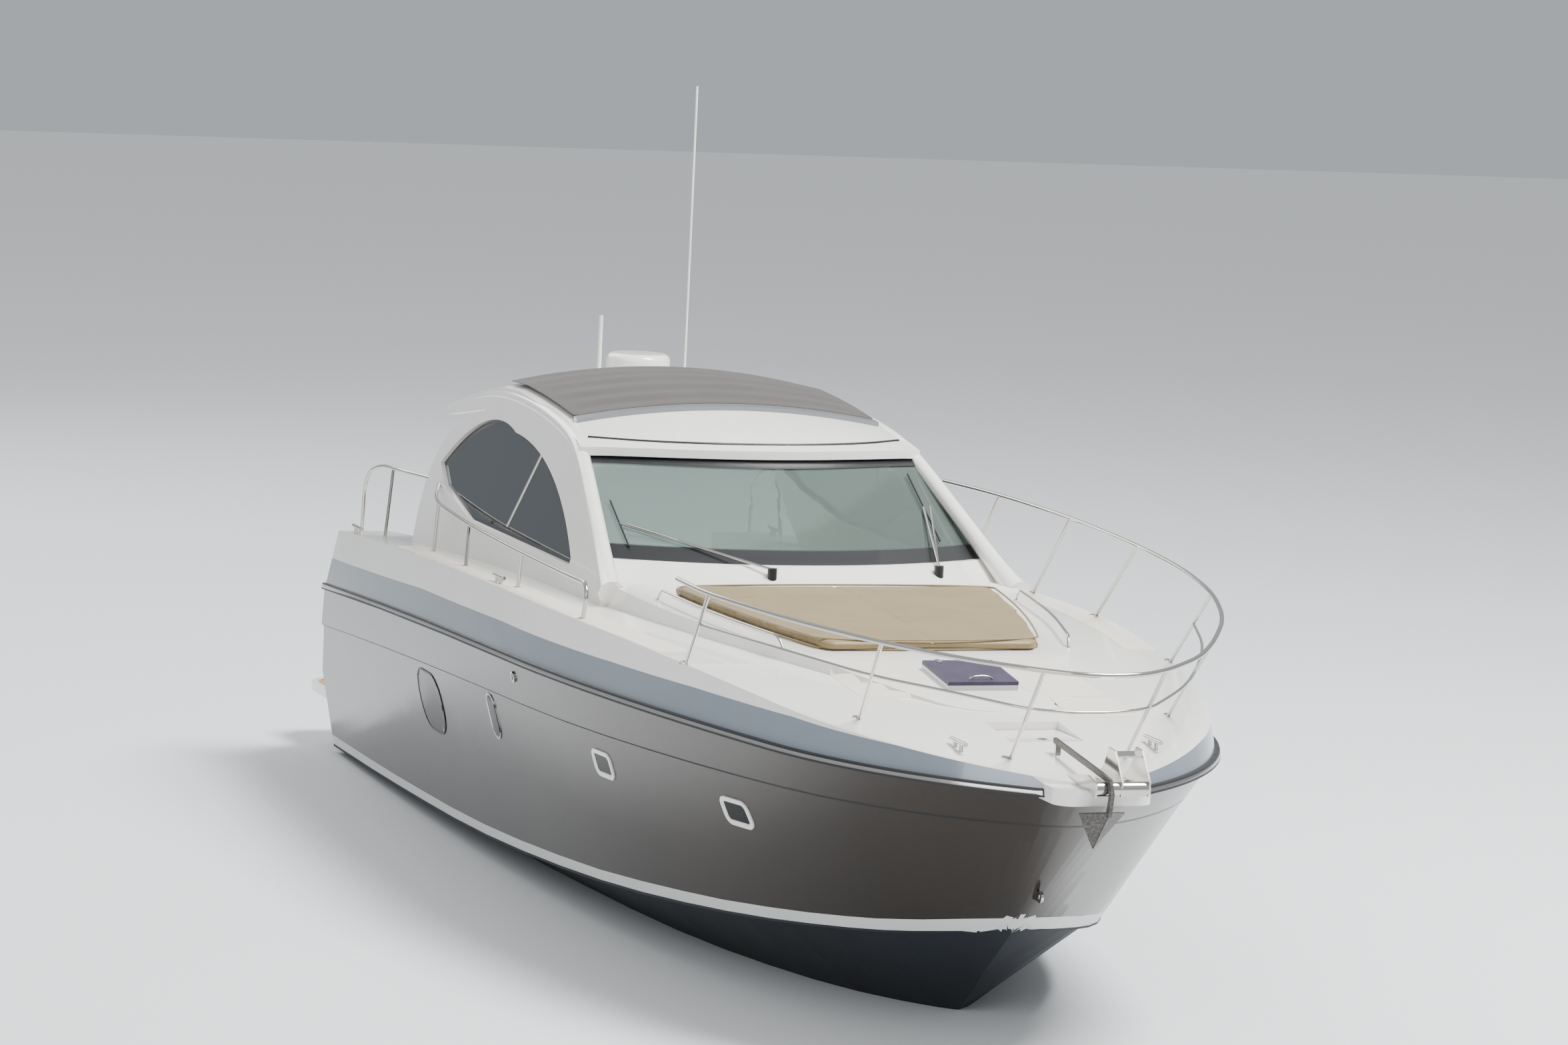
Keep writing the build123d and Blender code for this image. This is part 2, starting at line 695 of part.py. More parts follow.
def shield_strip(out, deep, z0, z1):
    """Bowed strip of the windshield between two heights; out and deep move its faces."""
    faces = []
    for z in (z0, z1):
        share = (z - SHIELD_LOW[3]) / (SHIELD_TOP[3] - SHIELD_LOW[3])
        x, half, bulge = [a + (b - a) * share for a, b in zip(SHIELD_LOW[:3], SHIELD_TOP[:3])]
        outer = ThreePointArc((x + out, -half, z), (x + bulge + out, 0, z), (x + out, half, z))
        inner = ThreePointArc((x - deep, -half, z), (x + bulge - deep, 0, z), (x - deep, half, z))
        ends = [Line((x + out, side * half, z), (x - deep, side * half, z)) for side in (1, -1)]
        faces.append(make_face([outer, inner] + ends))
    return Part() + loft(faces)


def between_walls():
    """Space between the inner faces of the side walls."""
    lean = tan(radians(WALL_LEAN))
    z0, z1 = 1700, 3200
    low, high = [WALL_Y - lean * (z - WALL_Z) - WALL_T for z in (z0, z1)]
    outline = make_face(Polyline((low, z0), (high, z1), (-high, z1), (-low, z0), (low, z0)))
    return extrude(Plane((-4200, 0, 0), x_dir=(0, 1, 0), z_dir=(1, 0, 0)) * outline, 6000)


def windshield(deck_part, hardtop_part):
    glass = shield_strip(0, GLASS_T, SHIELD_LOW[3], SHIELD_TOP[3]) & between_walls()
    return largest(glass - deck_part - hardtop_part)


def windshield_frame(deck_part, hardtop_part, glass):
    """Dark band along the foot of the glass, and a thinner one under the arched roof."""
    foot = SILL_Z[1]
    deep = GLASS_T + SHIELD_FRAME
    strip = shield_strip(SHIELD_FRAME, deep, foot, foot + SHIELD_BAND)
    head = shield_strip(SHIELD_FRAME, deep, foot + SHIELD_BAND, SHIELD_TOP[3])
    strip += head & roof_band(0, -ROOF_T - SHIELD_HEAD, -ROOF_T)
    frame = (strip & between_walls()) - deck_part - hardtop_part - glass
    return largest(frame, 4)


def roof_canvas():
    x0, x1 = CANVAS_X
    cover = roof_band(ROOF_SECTIONS[3][1] - CANVAS_HALF, SEAT_GAP, CANVAS_T)
    return cover & block(x0, x1 - CANVAS_BAR, -CANVAS_HALF, CANVAS_HALF, *ROOF_SPACE_Z)


def canvas_bar():
    """Stiff bow at the front edge of the canvas."""
    x0, x1 = CANVAS_X
    cover = roof_band(ROOF_SECTIONS[3][1] - CANVAS_HALF, SEAT_GAP, CANVAS_T + 4)
    return cover & block(x1 - CANVAS_BAR + SEAT_GAP, x1, -CANVAS_HALF, CANVAS_HALF, *ROOF_SPACE_Z)


def sunpad():
    """Trapezoid pad on the coachroof."""
    (x0, x1), (y0, y1) = PAD_X, PAD_HALF
    outline = [
        Line((x0, -y0), (x0, y0)),
        ThreePointArc((x0, y0), ((x0 + x1) / 2, (y0 + y1) / 2 + 60), (x1, y1)),
        Line((x1, y1), (x1, -y1)),
        ThreePointArc((x1, -y1), ((x0 + x1) / 2, -(y0 + y1) / 2 - 60), (x0, -y0)),
    ]
    (xa, za), (xb, zb) = ROOF_STEP[1:3]

    def top(x):
        return za + (zb - za) * (x - xa) / (xb - xa)
    low, high = SEAT_GAP, PAD_T
    corners = [(x0, top(x0) + low), (x1, top(x1) + low), (x1, top(x1) + high), (x0, top(x0) + high)]
    return extrude(make_face(outline), 3000) & across(corners, -y0, y0)


def foredeck_hatch():
    plane = hatch_plane()
    side = FORE_HATCH_W
    inner = side - 2 * FORE_HATCH_RIM
    rim = plane * (Pos(0, 0, FORE_HATCH_RIM / 2) * (Box(side, side, FORE_HATCH_RIM) - Box(inner, inner, 99)))
    lid = plane * (Pos(0, 0, FORE_HATCH_RIM + SEAT_GAP + FORE_HATCH_T / 2) * Box(side, side, FORE_HATCH_T))
    return rim, lid


def locker_lid():
    x0, x1 = LOCKER_X
    reach = LOCKER_LEDGE
    half = LOCKER_HALF + reach
    low = locker_z() - LOCKER_LID_T + SEAT_GAP
    return block(x0 - reach, x1 + reach, -half, half, low, locker_z())


def sole_hatch():
    (x0, x1), (y0, y1) = HATCH_ON_SOLE_X, HATCH_ON_SOLE_Y
    grow = LEDGE - PANEL_GAP
    low = SOLE_Z - SOLE_LID_T + SEAT_GAP
    return block(x0 - grow, x1 + grow, y0 - grow, y1 + grow, low, SOLE_Z)


def engines():
    length, width, height = ENGINE_SIZE
    x0, z0 = ENGINE_X - length / 2, BAY_Z[0]
    motor = block(x0, x0 + length, ENGINE_Y - width / 2, ENGINE_Y + width / 2, z0, z0 + height)
    return both_sides(motor)


def propeller(side):
    hub = rod(Plane.XY, HUB_R, -70, 70)
    for k in range(BLADES):
        blade = Solid.make_loft([blade_wire(*row, side) for row in BLADE_ROWS], ruled=True)
        hub += Rot(0, 0, 360 * k / BLADES) * blade
    return shaft_frame(side) * (hub - rod(Plane.XY, SHAFT_R, -80, 80))


def blade_wire(r, chord, thick, angle, side):
    """Diamond section of a blade at radius r, square to that radius."""
    turn = radians(side * angle)
    corners = [(chord / 2, 0), (0, thick / 2), (-chord / 2, 0), (0, -thick / 2)]
    return Wire.make_polygon([
        Vector(r, u * cos(turn) - v * sin(turn), u * sin(turn) + v * cos(turn)) for u, v in corners
    ], close=True)


def shaft(side):
    return rod(shaft_frame(side), SHAFT_R, -110, SHAFT_L)


def shaft_brackets(hull_part):
    brackets = Part()
    for side in (1, -1):
        plane = shaft_frame(side)
        low, high = BRACKET_AT
        sleeve = rod(plane, BRACKET_R, low, high)
        foot = plane * Pos(0, 0, (low + high) / 2)
        x, z = foot.position.X, foot.position.Z
        length, thick, top = BRACKET_LEG
        y = side * PROP_Y
        leg = block(x - length / 2, x + length / 2, y - thick / 2, y + thick / 2, z, top)
        brackets += sleeve + leg - rod(plane, SHAFT_R + SEAT_GAP, low - 10, high + 10)
    return largest(brackets - hull_part, 2)


def rudder(side):
    fore, aft = RUDDER_CHORD
    top, bottom = RUDDER_TOP - PANEL_GAP, RUDDER_TOP - RUDDER_L
    y = side * PROP_Y
    outline = [(RUDDER_X - aft, top), (RUDDER_X + fore, top), (RUDDER_X + fore * 0.8, bottom),
               (RUDDER_X - aft * 0.75, bottom)]
    blade = across(outline, y - RUDDER_T / 2, y + RUDDER_T / 2)
    return blade + rod(Plane((RUDDER_X, y, 0)), STOCK_R, top - 10, RUDDER_TOP + STOCK_L)


def tab_plane(side):
    """Plane on a trim tab's hinge line, with X aft and Z down, square to the bottom."""
    keel_z, chine_y, chine_z = STATIONS[0][2:5]
    rise, run = chine_z - keel_z, chine_y - CHINE_FLAT
    thick = TAB_SIZE[2]
    x = TRANSOM_X - thick / 2 - SEAT_GAP
    z = keel_z + rise * TAB_Y / run + thick / 2
    return Plane((x, side * TAB_Y, z), x_dir=(-1, 0, 0), z_dir=(0, side * rise, -run))


def trim_tab(side):
    length, width, thick = TAB_SIZE
    flap = Pos(length / 2, 0, 0) * Box(length, width, thick)
    barrel = Rot(90, 0, 0) * Cylinder(thick / 2, width)
    return tab_plane(side) * (flap + barrel)


def platform():
    aft, fore = PLATFORM_X, TRANSOM_X
    low, high = PLATFORM_Z
    slab = block(aft, fore, -PLATFORM_HALF, PLATFORM_HALF, low, high)
    corners = slab.edges().filter_by(Axis.Z).sort_by(Axis.X)[:2]
    slab = fillet(corners, PLATFORM_R)
    x, z = LADDER_HINGE
    for side in (1, -1):
        y = LADDER_Y + side * (LADDER_W / 2 + LADDER_R + LADDER_LUG_GAP)
        half = LADDER_LUG_T / 2
        lug = block(x - 14, aft + 60, y - half, y + half, high - 20, z + 14)
        pin = Plane((x, y - half, z), z_dir=(0, 1, 0))
        slab += lug - rod(pin, LADDER_PIN_R + SEAT_GAP, -1, LADDER_LUG_T + 1)
    return slab


def ladder():
    x, z = LADDER_HINGE
    form = Part()
    pin_end = LADDER_R + LADDER_LUG_GAP + LADDER_LUG_T
    for side in (1, -1):
        y = LADDER_Y + side * LADDER_W / 2
        form += rod(Plane((x, y, z), z_dir=(1, 0, 0)), LADDER_R, 0, LADDER_L)
        form += rod(Plane((x, y, z), z_dir=(0, side, 0)), LADDER_PIN_R, 0, pin_end)
    first, step, count = LADDER_RUNGS
    reach = LADDER_W / 2
    for k in range(count):
        rung = Plane((x + first + k * step, LADDER_Y, z), z_dir=(0, 1, 0))
        form += rod(rung, LADDER_R - 1, -reach, reach)
    return form


def gate_axis():
    """Line of the gate's two knuckles, close to the inboard wall."""
    return GATE_X[0] - GATE_BARREL_R / 2, WALK_Y - GATE_BARREL_R - SEAT_GAP


def gate():
    gap = PANEL_GAP
    panel = block(*GATE_X, -WELL_HALF + gap + 2, WALK_Y - gap, WALK_Z + gap, GATE_TOP)
    for z in GATE_KNUCKLES:
        panel += rod(Plane((*gate_axis(), z)), GATE_BARREL_R, 0, GATE_KNUCKLE_L)
    return panel


def dash():
    body = across(DASH, *DASH_Y)
    return body + rod(wheel_plane(), COLUMN_R, -30, COLUMN_L)


def wheel_plane():
    """Plane on the helm face under the wheel, Z along the steering axis towards the seat."""
    (x0, z0), (x1, z1) = DASH[3:5]
    return Plane(((x0 + x1) / 2, WHEEL_Y, (z0 + z1) / 2), x_dir=(0, 1, 0), z_dir=(z0 - z1, 0, x1 - x0))


def steering_wheel():
    low = COLUMN_L + SEAT_GAP
    high = low + WHEEL_RISE
    wide, thick = SPOKE
    form = Pos(0, 0, high) * Torus(WHEEL_R, WHEEL_RIM_R)
    form += rod(Plane.XY, WHEEL_HUB_R, low, high + thick / 2)
    for angle in (90, 210, 330):
        form += Rot(0, 0, angle) * (Pos(WHEEL_R / 2, 0, high - thick / 2) * Box(WHEEL_R - 8, wide, thick))
    return wheel_plane() * form


def companionway():
    """Sliding door on the bulkhead, and its two runners."""
    y0, y1 = STAIR_Y
    lap = DOOR_OVERLAP
    low, high = SOLE_Z + RUNNER_T, STAIR_TOP + lap
    x1 = WELL_FORE_X - 8
    door = block(x1 - DOOR_T, x1, y0 - lap, y1 + lap, low + SEAT_GAP, high - SEAT_GAP)
    end = y1 + lap + (y1 - y0)
    aft = x1 - DOOR_T - 12
    rails = Part()
    for z0, z1 in ((SOLE_Z, low), (high, high + RUNNER_T)):
        rails += block(aft, WELL_FORE_X, y0 - lap - 15, min(end, WELL_HALF), z0, z1)
    lip = 22
    rails += block(aft, aft + 10, y0 - lap - 15, min(end, WELL_HALF), low, low + lip)
    rails += block(aft, aft + 10, y0 - lap - 15, min(end, WELL_HALF), high - lip, high)
    return door, rails


def helm_seat():
    (x0, x1), (y0, y1), (low, high) = HELM_SEAT_X, HELM_SEAT_Y, HELM_SEAT_Z
    box = block(x0 + 100, x1 - 60, y0 + 40, y1 - 40, SOLE_Z, low)
    seat = block(x0, x1, y0, y1, low, high)
    back = across([(x0 + x, z) for x, z in HELM_BACK], y0, y1)
    return box, fillet((seat + back).edges().filter_by(Axis.Y), HELM_SEAT_ROUND)


def sofa():
    """L-shaped base and cushions along the aft and port sides of the well."""
    x0, x1 = SOFA_X
    wall = WELL_HALF - FURNITURE_GAP
    end_y = WALK_Y + 40
    deep, thick = SOFA_DEPTH, SOFA_PAD_T
    back_t, back_h = SOFA_BACK
    low, high = SOFA_Z - thick, SOFA_Z
    base = block(x0 - 20, x0 + deep, end_y, wall, SOLE_Z, low)
    base += block(x0 + deep, x1, wall - deep, wall, SOLE_Z, low)
    pad = block(x0, x0 + deep, end_y, wall, low, high)
    pad += block(x0 + deep, x1, wall - deep, wall, low, high)
    pad += block(x0, x0 + back_t, end_y, wall, high, high + back_h)
    pad += block(x0 + back_t, x1, wall - back_t, wall, high, high + back_h)
    return base, pad


def aft_pad():
    x0 = DECK_AFT_X + 60
    x1 = WELL_AFT_X - 40
    low = AFT_DECK_Z + SEAT_GAP
    pad = block(x0, x1, WALK_Y + 40, WELL_HALF - 30, low, AFT_DECK_Z + AFT_PAD_T)
    return fillet(pad.edges().filter_by(Axis.Z), AFT_PAD_R)


def wet_bar():
    x0, x1 = BAR_X
    wall = WELL_HALF - FURNITURE_GAP
    lap, thick = BAR_TOP
    top_z = BAR_Z + thick
    body = block(x0, x1, wall - BAR_DEEP, wall, SOLE_Z, BAR_Z)
    top = block(x0 - lap, x1 + lap, wall - BAR_DEEP - lap, wall, BAR_Z, top_z)
    sink = Plane(((x0 + x1) / 2 - SINK_R, WELL_HALF - 2 * SINK_R, top_z))
    return body + top - rod(sink, SINK_R, -SINK_DEEP, SINK_DEEP)


def table():
    x, y = TABLE_AT
    length, width, thick = TABLE_SIZE
    foot_r, foot_t = TABLE_FOOT
    top = Pos(x, y, TABLE_TOP + thick / 2) * Box(length, width, thick)
    top = fillet(top.edges().filter_by(Axis.Z), TABLE_R)
    post = rod(Plane((x, y, 0)), TABLE_POST_R, SOLE_Z + foot_t, TABLE_TOP)
    return top + post + rod(Plane((x, y, 0)), foot_r, SOLE_Z, SOLE_Z + foot_t)


def other_side(points):
    return [(x, -y, z) for x, y, z in reversed(points)]


def on_deck(x, y):
    """Point just under the deck, where a rail's foot starts."""
    return x, y, deck_z(x) - FOOT_DEEP


def heads(posts):
    return [post[2:] for post in posts]


def woven(points, between):
    """Points in turn, with the other points between them."""
    rows = [points[0]]
    for a, b in zip(between, points[1:]):
        rows += [a, b]
    return rows


def nearest(path, point):
    """Point of a path that lies nearest to another point."""
    goal = Vector(*point)
    return min((path @ (k / 800) for k in range(801)), key=lambda p: (p - goal).length)


def guard_rail(deck_part, hardtop_part):
    """High rail round the bow with its posts and mid rail, and the low rail on the starboard side deck."""
    bow = woven(heads(BOW_POSTS), BOW_BULGES) + [BOW_NOSE]
    port = [on_deck(*PORT_LEG[0]), PORT_LEG[1]] + heads(PORT_POSTS) + [PORT_BULGE] + bow
    top = bent_path(port + other_side([STARBOARD_END] + bow))
    joints = []
    for x, y, *head in BOW_POSTS:
        foot = Vector(*on_deck(x, y))
        joints.append(tuple(foot + (nearest(top, head) - foot) * MID_SHARE))
    low = woven(joints, MID_BULGES) + [MID_NOSE]
    middle = bent_path(low + other_side(low))
    form = tube(top, RAIL_R) + tube(middle, MID_RAIL_R)
    ends = heads(BOW_POSTS)
    for head, joint in zip(ends + other_side(ends), joints + other_side(joints)):
        high = nearest(top, head)
        foot = high + (nearest(middle, joint) - high) / (1 - MID_SHARE)
        form += strut(foot, high, POST_R)
    for x, y, *head in PORT_POSTS:
        form += strut(on_deck(x, y), nearest(top, head), POST_R)
    return largest(form - deck_part) + side_rail(deck_part, hardtop_part)


def side_rail(deck_part, hardtop_part):
    """Low rail, made to port and mirrored to starboard."""
    path = bent_path(SIDE_RAIL + [on_deck(*SIDE_LEG)])
    form = tube(path, RAIL_R)
    for x, y, head_x in SIDE_POSTS:
        form += strut(on_deck(x, y), nearest(path, (head_x, y, SIDE_RAIL[1][2])), POST_R)
    return largest(mirror(form, Plane.XZ) - deck_part - hardtop_part)


def stern_rails(deck_part, hardtop_part):
    path = bent_path(STERN_RAIL)
    form = tube(path, RAIL_R) + strut(on_deck(*STERN_POST), nearest(path, STERN_POST_HEAD), POST_R)
    return largest(both_sides(form) - deck_part - hardtop_part, 2)


def coach_z(x):
    """Height of the coachroof's top at x."""
    for (x0, z0), (x1, z1) in zip(ROOF_STEP, ROOF_STEP[1:]):
        if x <= x1:
            return z0 + (z1 - z0) * (x - x0) / (x1 - x0)
    return ROOF_STEP[-1][1]


def grab_rails(deck_part):
    high = [(x, y, coach_z(x) + GRAB_H) for x, y in GRAB_RAIL]
    (xa, ya), (xb, yb) = GRAB_RAIL[0], GRAB_RAIL[-1]
    aft = (xa - GRAB_END, ya + 5, coach_z(xa) - 20)
    fore = (xb + GRAB_END, yb - 20, coach_z(xb) - 20)
    return both_sides(tube(bent_path([aft] + high + [fore]), GRAB_R)) - deck_part


def cleat(x, y):
    z = deck_z(x)
    form = Part()
    for step in (-CLEAT_LEG, CLEAT_LEG):
        form += rod(Plane((x + step, y, z)), CLEAT_R, -FOOT_DEEP, CLEAT_H)
    return form + rod(Plane((x, y, z + CLEAT_H), z_dir=(1, 0, 0)), CLEAT_R, -CLEAT_L / 2, CLEAT_L / 2)


def cleats(deck_part):
    form = Part()
    for x, y in CLEATS:
        form += both_sides(cleat(x, y))
    return form - deck_part


def roof_z(x):
    """Height of the roof's outer face on the centreline at x."""
    rows = fair_rows(ROOF_SECTIONS, ROOF_STEPS)
    for (xa, _, ea, ca), (xb, _, eb, cb) in zip(rows, rows[1:]):
        if x >= xb:
            return ea + ca + (eb + cb - ea - ca) * (xa - x) / (xa - xb)
    return eb + cb


def radar(hardtop_part):
    """Flat dome on the aft roof."""
    top = roof_z(RADAR_X) + RADAR_H
    dome = rod(Plane((RADAR_X, 0, 0)), RADAR_R, top - 1.5 * RADAR_H, top)
    return largest(fillet(dome.edges().group_by(Axis.Z)[-1], 50) - hardtop_part)


def aerials(hardtop_part):
    """Short thick aerial and tall whip, each on a round base."""
    form = Part()
    for x, y, radius, length in AERIALS:
        foot = Plane((x, y, roof_z(x)))
        form += rod(foot, radius, -100, length) + rod(foot, radius + 16, -100, 30)
    return largest(form - hardtop_part, 2)


def shield_x(y, z):
    """How far forward the windshield's outer face is at y and z."""
    share = (z - SHIELD_LOW[3]) / (SHIELD_TOP[3] - SHIELD_LOW[3])
    x, half, bulge = [a + (b - a) * share for a, b in zip(SHIELD_LOW[:3], SHIELD_TOP[:3])]
    radius = (half**2 + bulge**2) / (2 * bulge)
    return x + bulge - radius + sqrt(radius**2 - y**2)


def wipers(deck_part):
    """Two wipers: pivot boss on the sill, arm, and blade along the glass."""
    form = Part()
    for foot_y, blade_y, low, high in WIPERS:
        foot = Vector(shield_x(foot_y, WIPER_FOOT_Z) + WIPER_FOOT_OFF, foot_y, WIPER_FOOT_Z)
        form += rod(Plane(foot), WIPER_FOOT_R, -2 * WIPER_FOOT_H, WIPER_FOOT_H)
        ends = [Vector(shield_x(blade_y, z) + BLADE_OFF, blade_y, z) for z in (low, high)]
        form += strut(*ends, BLADE_R)
        form += strut(foot + Vector(0, 0, WIPER_FOOT_H - ARM_R), (ends[0] + ends[1]) * 0.5, ARM_R)
    return largest(form - deck_part, 2)


def windlass():
    """Drum with two rims on a foot, on the floor of the anchor locker."""
    x0, x1 = WINDLASS_X
    x, z = (x0 + x1) / 2, locker_z() - LOCKER_DEPTH
    half = WINDLASS_HALF
    form = block(x0, x1, -half, half, z, z + WINDLASS_FOOT)
    drum = Plane((x, 0, z + DRUM_Z), z_dir=(0, 1, 0))
    form += rod(drum, DRUM_R, -half + RIM_T, half - RIM_T)
    for low in (-half, half - RIM_T):
        form += rod(drum, RIM_R, low, low + RIM_T)
    return form


def on_plate(points):
    """Side view given from the top of the stem plate."""
    return [(x, STEM_PLATE_Z[1] + z) for x, z in points]


def bow_roller(deck_part):
    """Double stemhead fitting: three cheeks, two floors, two rollers, and the chock under the shank."""
    form = Part()
    for y, outline in zip(CHEEK_Y, (LOW_CHEEK, TALL_CHEEK, TALL_CHEEK)):
        form += across(on_plate(outline), y - CHEEK_T / 2, y + CHEEK_T / 2)
    form += across(on_plate(CHANNEL_FLOOR), CHEEK_Y[0], CHEEK_Y[2])
    form += across(on_plate(BOX_TOP), CHEEK_Y[1], CHEEK_Y[2])
    x, z = on_plate([ROLLER_AT])[0]
    form += rod(Plane((x, 0, z), z_dir=(0, 1, 0)), ROLLER_R, CHEEK_Y[0], CHEEK_Y[2])
    (xa, za), (xb, zb) = SHANK[-1], SHANK[-2]
    x0, x1 = CHOCK_X
    rest_z = za + (zb - za) * (x1 - xa) / (xb - xa) - SEAT_GAP
    chock = block(x0, x1, ANCHOR_Y - CHOCK_HALF, ANCHOR_Y + CHOCK_HALF, deck_z(x1) - FOOT_DEEP, rest_z)
    return largest((form + chock) - deck_part, 2)


def anchor(roller_part):
    """Plough anchor: shank over the starboard roller, and a fluke of two plates under the stem plate."""
    form = across(SHANK, ANCHOR_Y - SHANK_HALF, ANCHOR_Y + SHANK_HALF)
    for side in (1, -1):
        corners = [(x, ANCHOR_Y + side * y, z) for x, y, z in PLOUGH]
        form += extrude(make_face(Polyline(*corners, corners[0])), PLOUGH_T / 2, both=True)
    return largest(form - roller_part)


def stem_x(z):
    sheer_x, keel_x, keel_z = STATIONS[-1][:3]
    return keel_x + (sheer_x - keel_x) * (z - keel_z) / (sheer_z(sheer_x) - keel_z)


def eye(x, y, z, into):
    """Padeye: a plate with a round end and a bore across the boat."""
    low, high = min(x, x + into), max(x, x + into)
    plate = rod(Plane((x, y - EYE_T / 2, z), z_dir=(0, 1, 0)), 2.4 * EYE_R, 0, EYE_T)
    plate += block(low, high, y - EYE_T / 2, y + EYE_T / 2, z - 2 * EYE_R, z + 2 * EYE_R)
    return plate - rod(Plane((x, y - EYE_T, z), z_dir=(0, 1, 0)), EYE_R, 0, 2 * EYE_T)


def bow_eye(hull_part):
    return largest(eye(stem_x(BOW_EYE_Z) + EYE_OUT, 0, BOW_EYE_Z, -160) - hull_part)


def stern_eyes(hull_part):
    x, y, z = STERN_EYE
    return largest((eye(x - EYE_OUT, y, z, 160) + eye(x - EYE_OUT, -y, z, 160)) - hull_part, 2)


def save(name, shape):
    shape.label = name
    export_step(shape, "parts/" + name + ".step")


def build():
    """Make every piece and write its file."""
    hull_part = hull()
    deck_part = deck()
    hardtop_part = hardtop(deck_part)
    glass = windshield(deck_part, hardtop_part)
    rim, lid = foredeck_hatch()
    door, runners = companionway()
    seat_base, seat_pad = helm_seat()
    sofa_base, sofa_pad = sofa()
    roller = bow_roller(deck_part)
    pieces = {
        "hull": hull_part,
        "deck": deck_part,
        "rub_rail": rub_rail(hull_part, deck_part),
        "hardtop": hardtop_part,
        "side_windows": side_glass(),
        "windshield": glass,
        "windshield_frame": windshield_frame(deck_part, hardtop_part, glass),
        "wipers": wipers(deck_part),
        "roof_canvas": roof_canvas(),
        "canvas_bow": canvas_bar(),
        "sunpad": sunpad(),
        "foredeck_hatch_rim": rim,
        "foredeck_hatch_lid": lid,
        "anchor_locker_lid": locker_lid(),
        "windlass": windlass(),
        "bow_roller": roller,
        "anchor": anchor(roller),
        "guard_rail": guard_rail(deck_part, hardtop_part),
        "stern_rails": stern_rails(deck_part, hardtop_part),
        "grab_rails": grab_rails(deck_part),
        "cleats": cleats(deck_part),
        "radar": radar(hardtop_part),
        "aerials": aerials(hardtop_part),
        "bathing_platform": platform(),
        "swim_ladder": ladder(),
        "transom_gate": gate(),
        "engine_hatch": sole_hatch(),
        "engines": engines(),
        "helm_console": dash(),
        "steering_wheel": steering_wheel(),
        "companionway_door": door,
        "door_runners": runners,
        "helm_seat_base": seat_base,
        "helm_seat_cushion": seat_pad,
        "sofa_base": sofa_base,
        "sofa_cushions": sofa_pad,
        "aft_sunpad": aft_pad(),
        "wet_bar": wet_bar(),
        "cockpit_table": table(),
        "shaft_brackets": shaft_brackets(hull_part),
        "bow_eye": bow_eye(hull_part),
        "stern_eyes": stern_eyes(hull_part),
    }
    for name, side in (("port", 1), ("starboard", -1)):
        pieces["propeller_" + name] = propeller(side)
        pieces["shaft_" + name] = shaft(side)
        pieces["rudder_" + name] = rudder(side)
        pieces["trim_tab_" + name] = trim_tab(side)
    for name, shape in pieces.items():
        save(name, shape)


build()
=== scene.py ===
"""Looks of the hardtop motor yacht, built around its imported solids. Metres, +X to the bow, +Y to port."""

import json
import math

import bmesh
import bpy
from mathutils import Matrix, Vector
from mathutils.bvhtree import BVHTree
from mathutils.kdtree import KDTree

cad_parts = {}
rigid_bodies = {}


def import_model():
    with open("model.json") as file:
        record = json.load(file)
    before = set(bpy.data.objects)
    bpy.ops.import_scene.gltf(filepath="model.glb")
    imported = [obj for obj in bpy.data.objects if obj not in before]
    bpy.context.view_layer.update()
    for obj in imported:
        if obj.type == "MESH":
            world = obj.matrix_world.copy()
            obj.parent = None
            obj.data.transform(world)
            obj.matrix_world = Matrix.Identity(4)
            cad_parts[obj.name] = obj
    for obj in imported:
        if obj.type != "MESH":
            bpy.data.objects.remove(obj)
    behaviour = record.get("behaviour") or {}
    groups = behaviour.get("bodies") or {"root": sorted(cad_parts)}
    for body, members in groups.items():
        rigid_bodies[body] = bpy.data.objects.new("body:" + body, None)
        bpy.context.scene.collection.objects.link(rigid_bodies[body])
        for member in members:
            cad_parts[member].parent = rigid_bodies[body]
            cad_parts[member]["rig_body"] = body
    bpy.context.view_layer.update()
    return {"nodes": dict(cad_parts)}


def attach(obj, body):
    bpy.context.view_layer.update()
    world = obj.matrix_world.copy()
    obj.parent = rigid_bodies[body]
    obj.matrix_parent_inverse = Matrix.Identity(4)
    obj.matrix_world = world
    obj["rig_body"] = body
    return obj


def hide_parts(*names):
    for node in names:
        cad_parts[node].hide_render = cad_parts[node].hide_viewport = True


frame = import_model()
nodes = frame["nodes"]

# Camera. It stands where the photographer stood, high off the starboard bow, and leans as the picture leans.
# A longer lens makes the boat fill the frame without changing its perspective.
PHOTO_EYE = Vector((31.0193, -11.0699, 6.3059))
PHOTO_AIM = Vector((0, 0.039, 2.438))
PHOTO_ROLL = math.radians(2.71)
LENS_MM = 117.8
FILM_MM = 36
SEES_AS_FAR_AS = 400

back = (PHOTO_EYE - PHOTO_AIM).normalized()
level = Vector((0, 0, 1)).cross(back).normalized()
right = level * math.cos(PHOTO_ROLL) + back.cross(level) * math.sin(PHOTO_ROLL)
camera = bpy.data.objects.new("camera", bpy.data.cameras.new("camera"))
bpy.context.collection.objects.link(camera)
camera.matrix_world = Matrix((right, back.cross(right), back)).transposed().to_4x4()
camera.location = PHOTO_EYE
camera.data.lens = LENS_MM
camera.data.sensor_width = FILM_MM
camera.data.clip_end = SEES_AS_FAR_AS
bpy.context.scene.camera = camera


# Floor, at the waterline. A wide pale sheet, matt like backdrop paper, that the hull sinks into.
def paint(code):
    """Linear colour of an sRGB hex code."""
    parts = [int(code[k:k + 2], 16) / 255 for k in (1, 3, 5)]
    return [c / 12.92 if c <= 0.04045 else ((c + 0.055) / 1.055) ** 2.4 for c in parts] + [1]


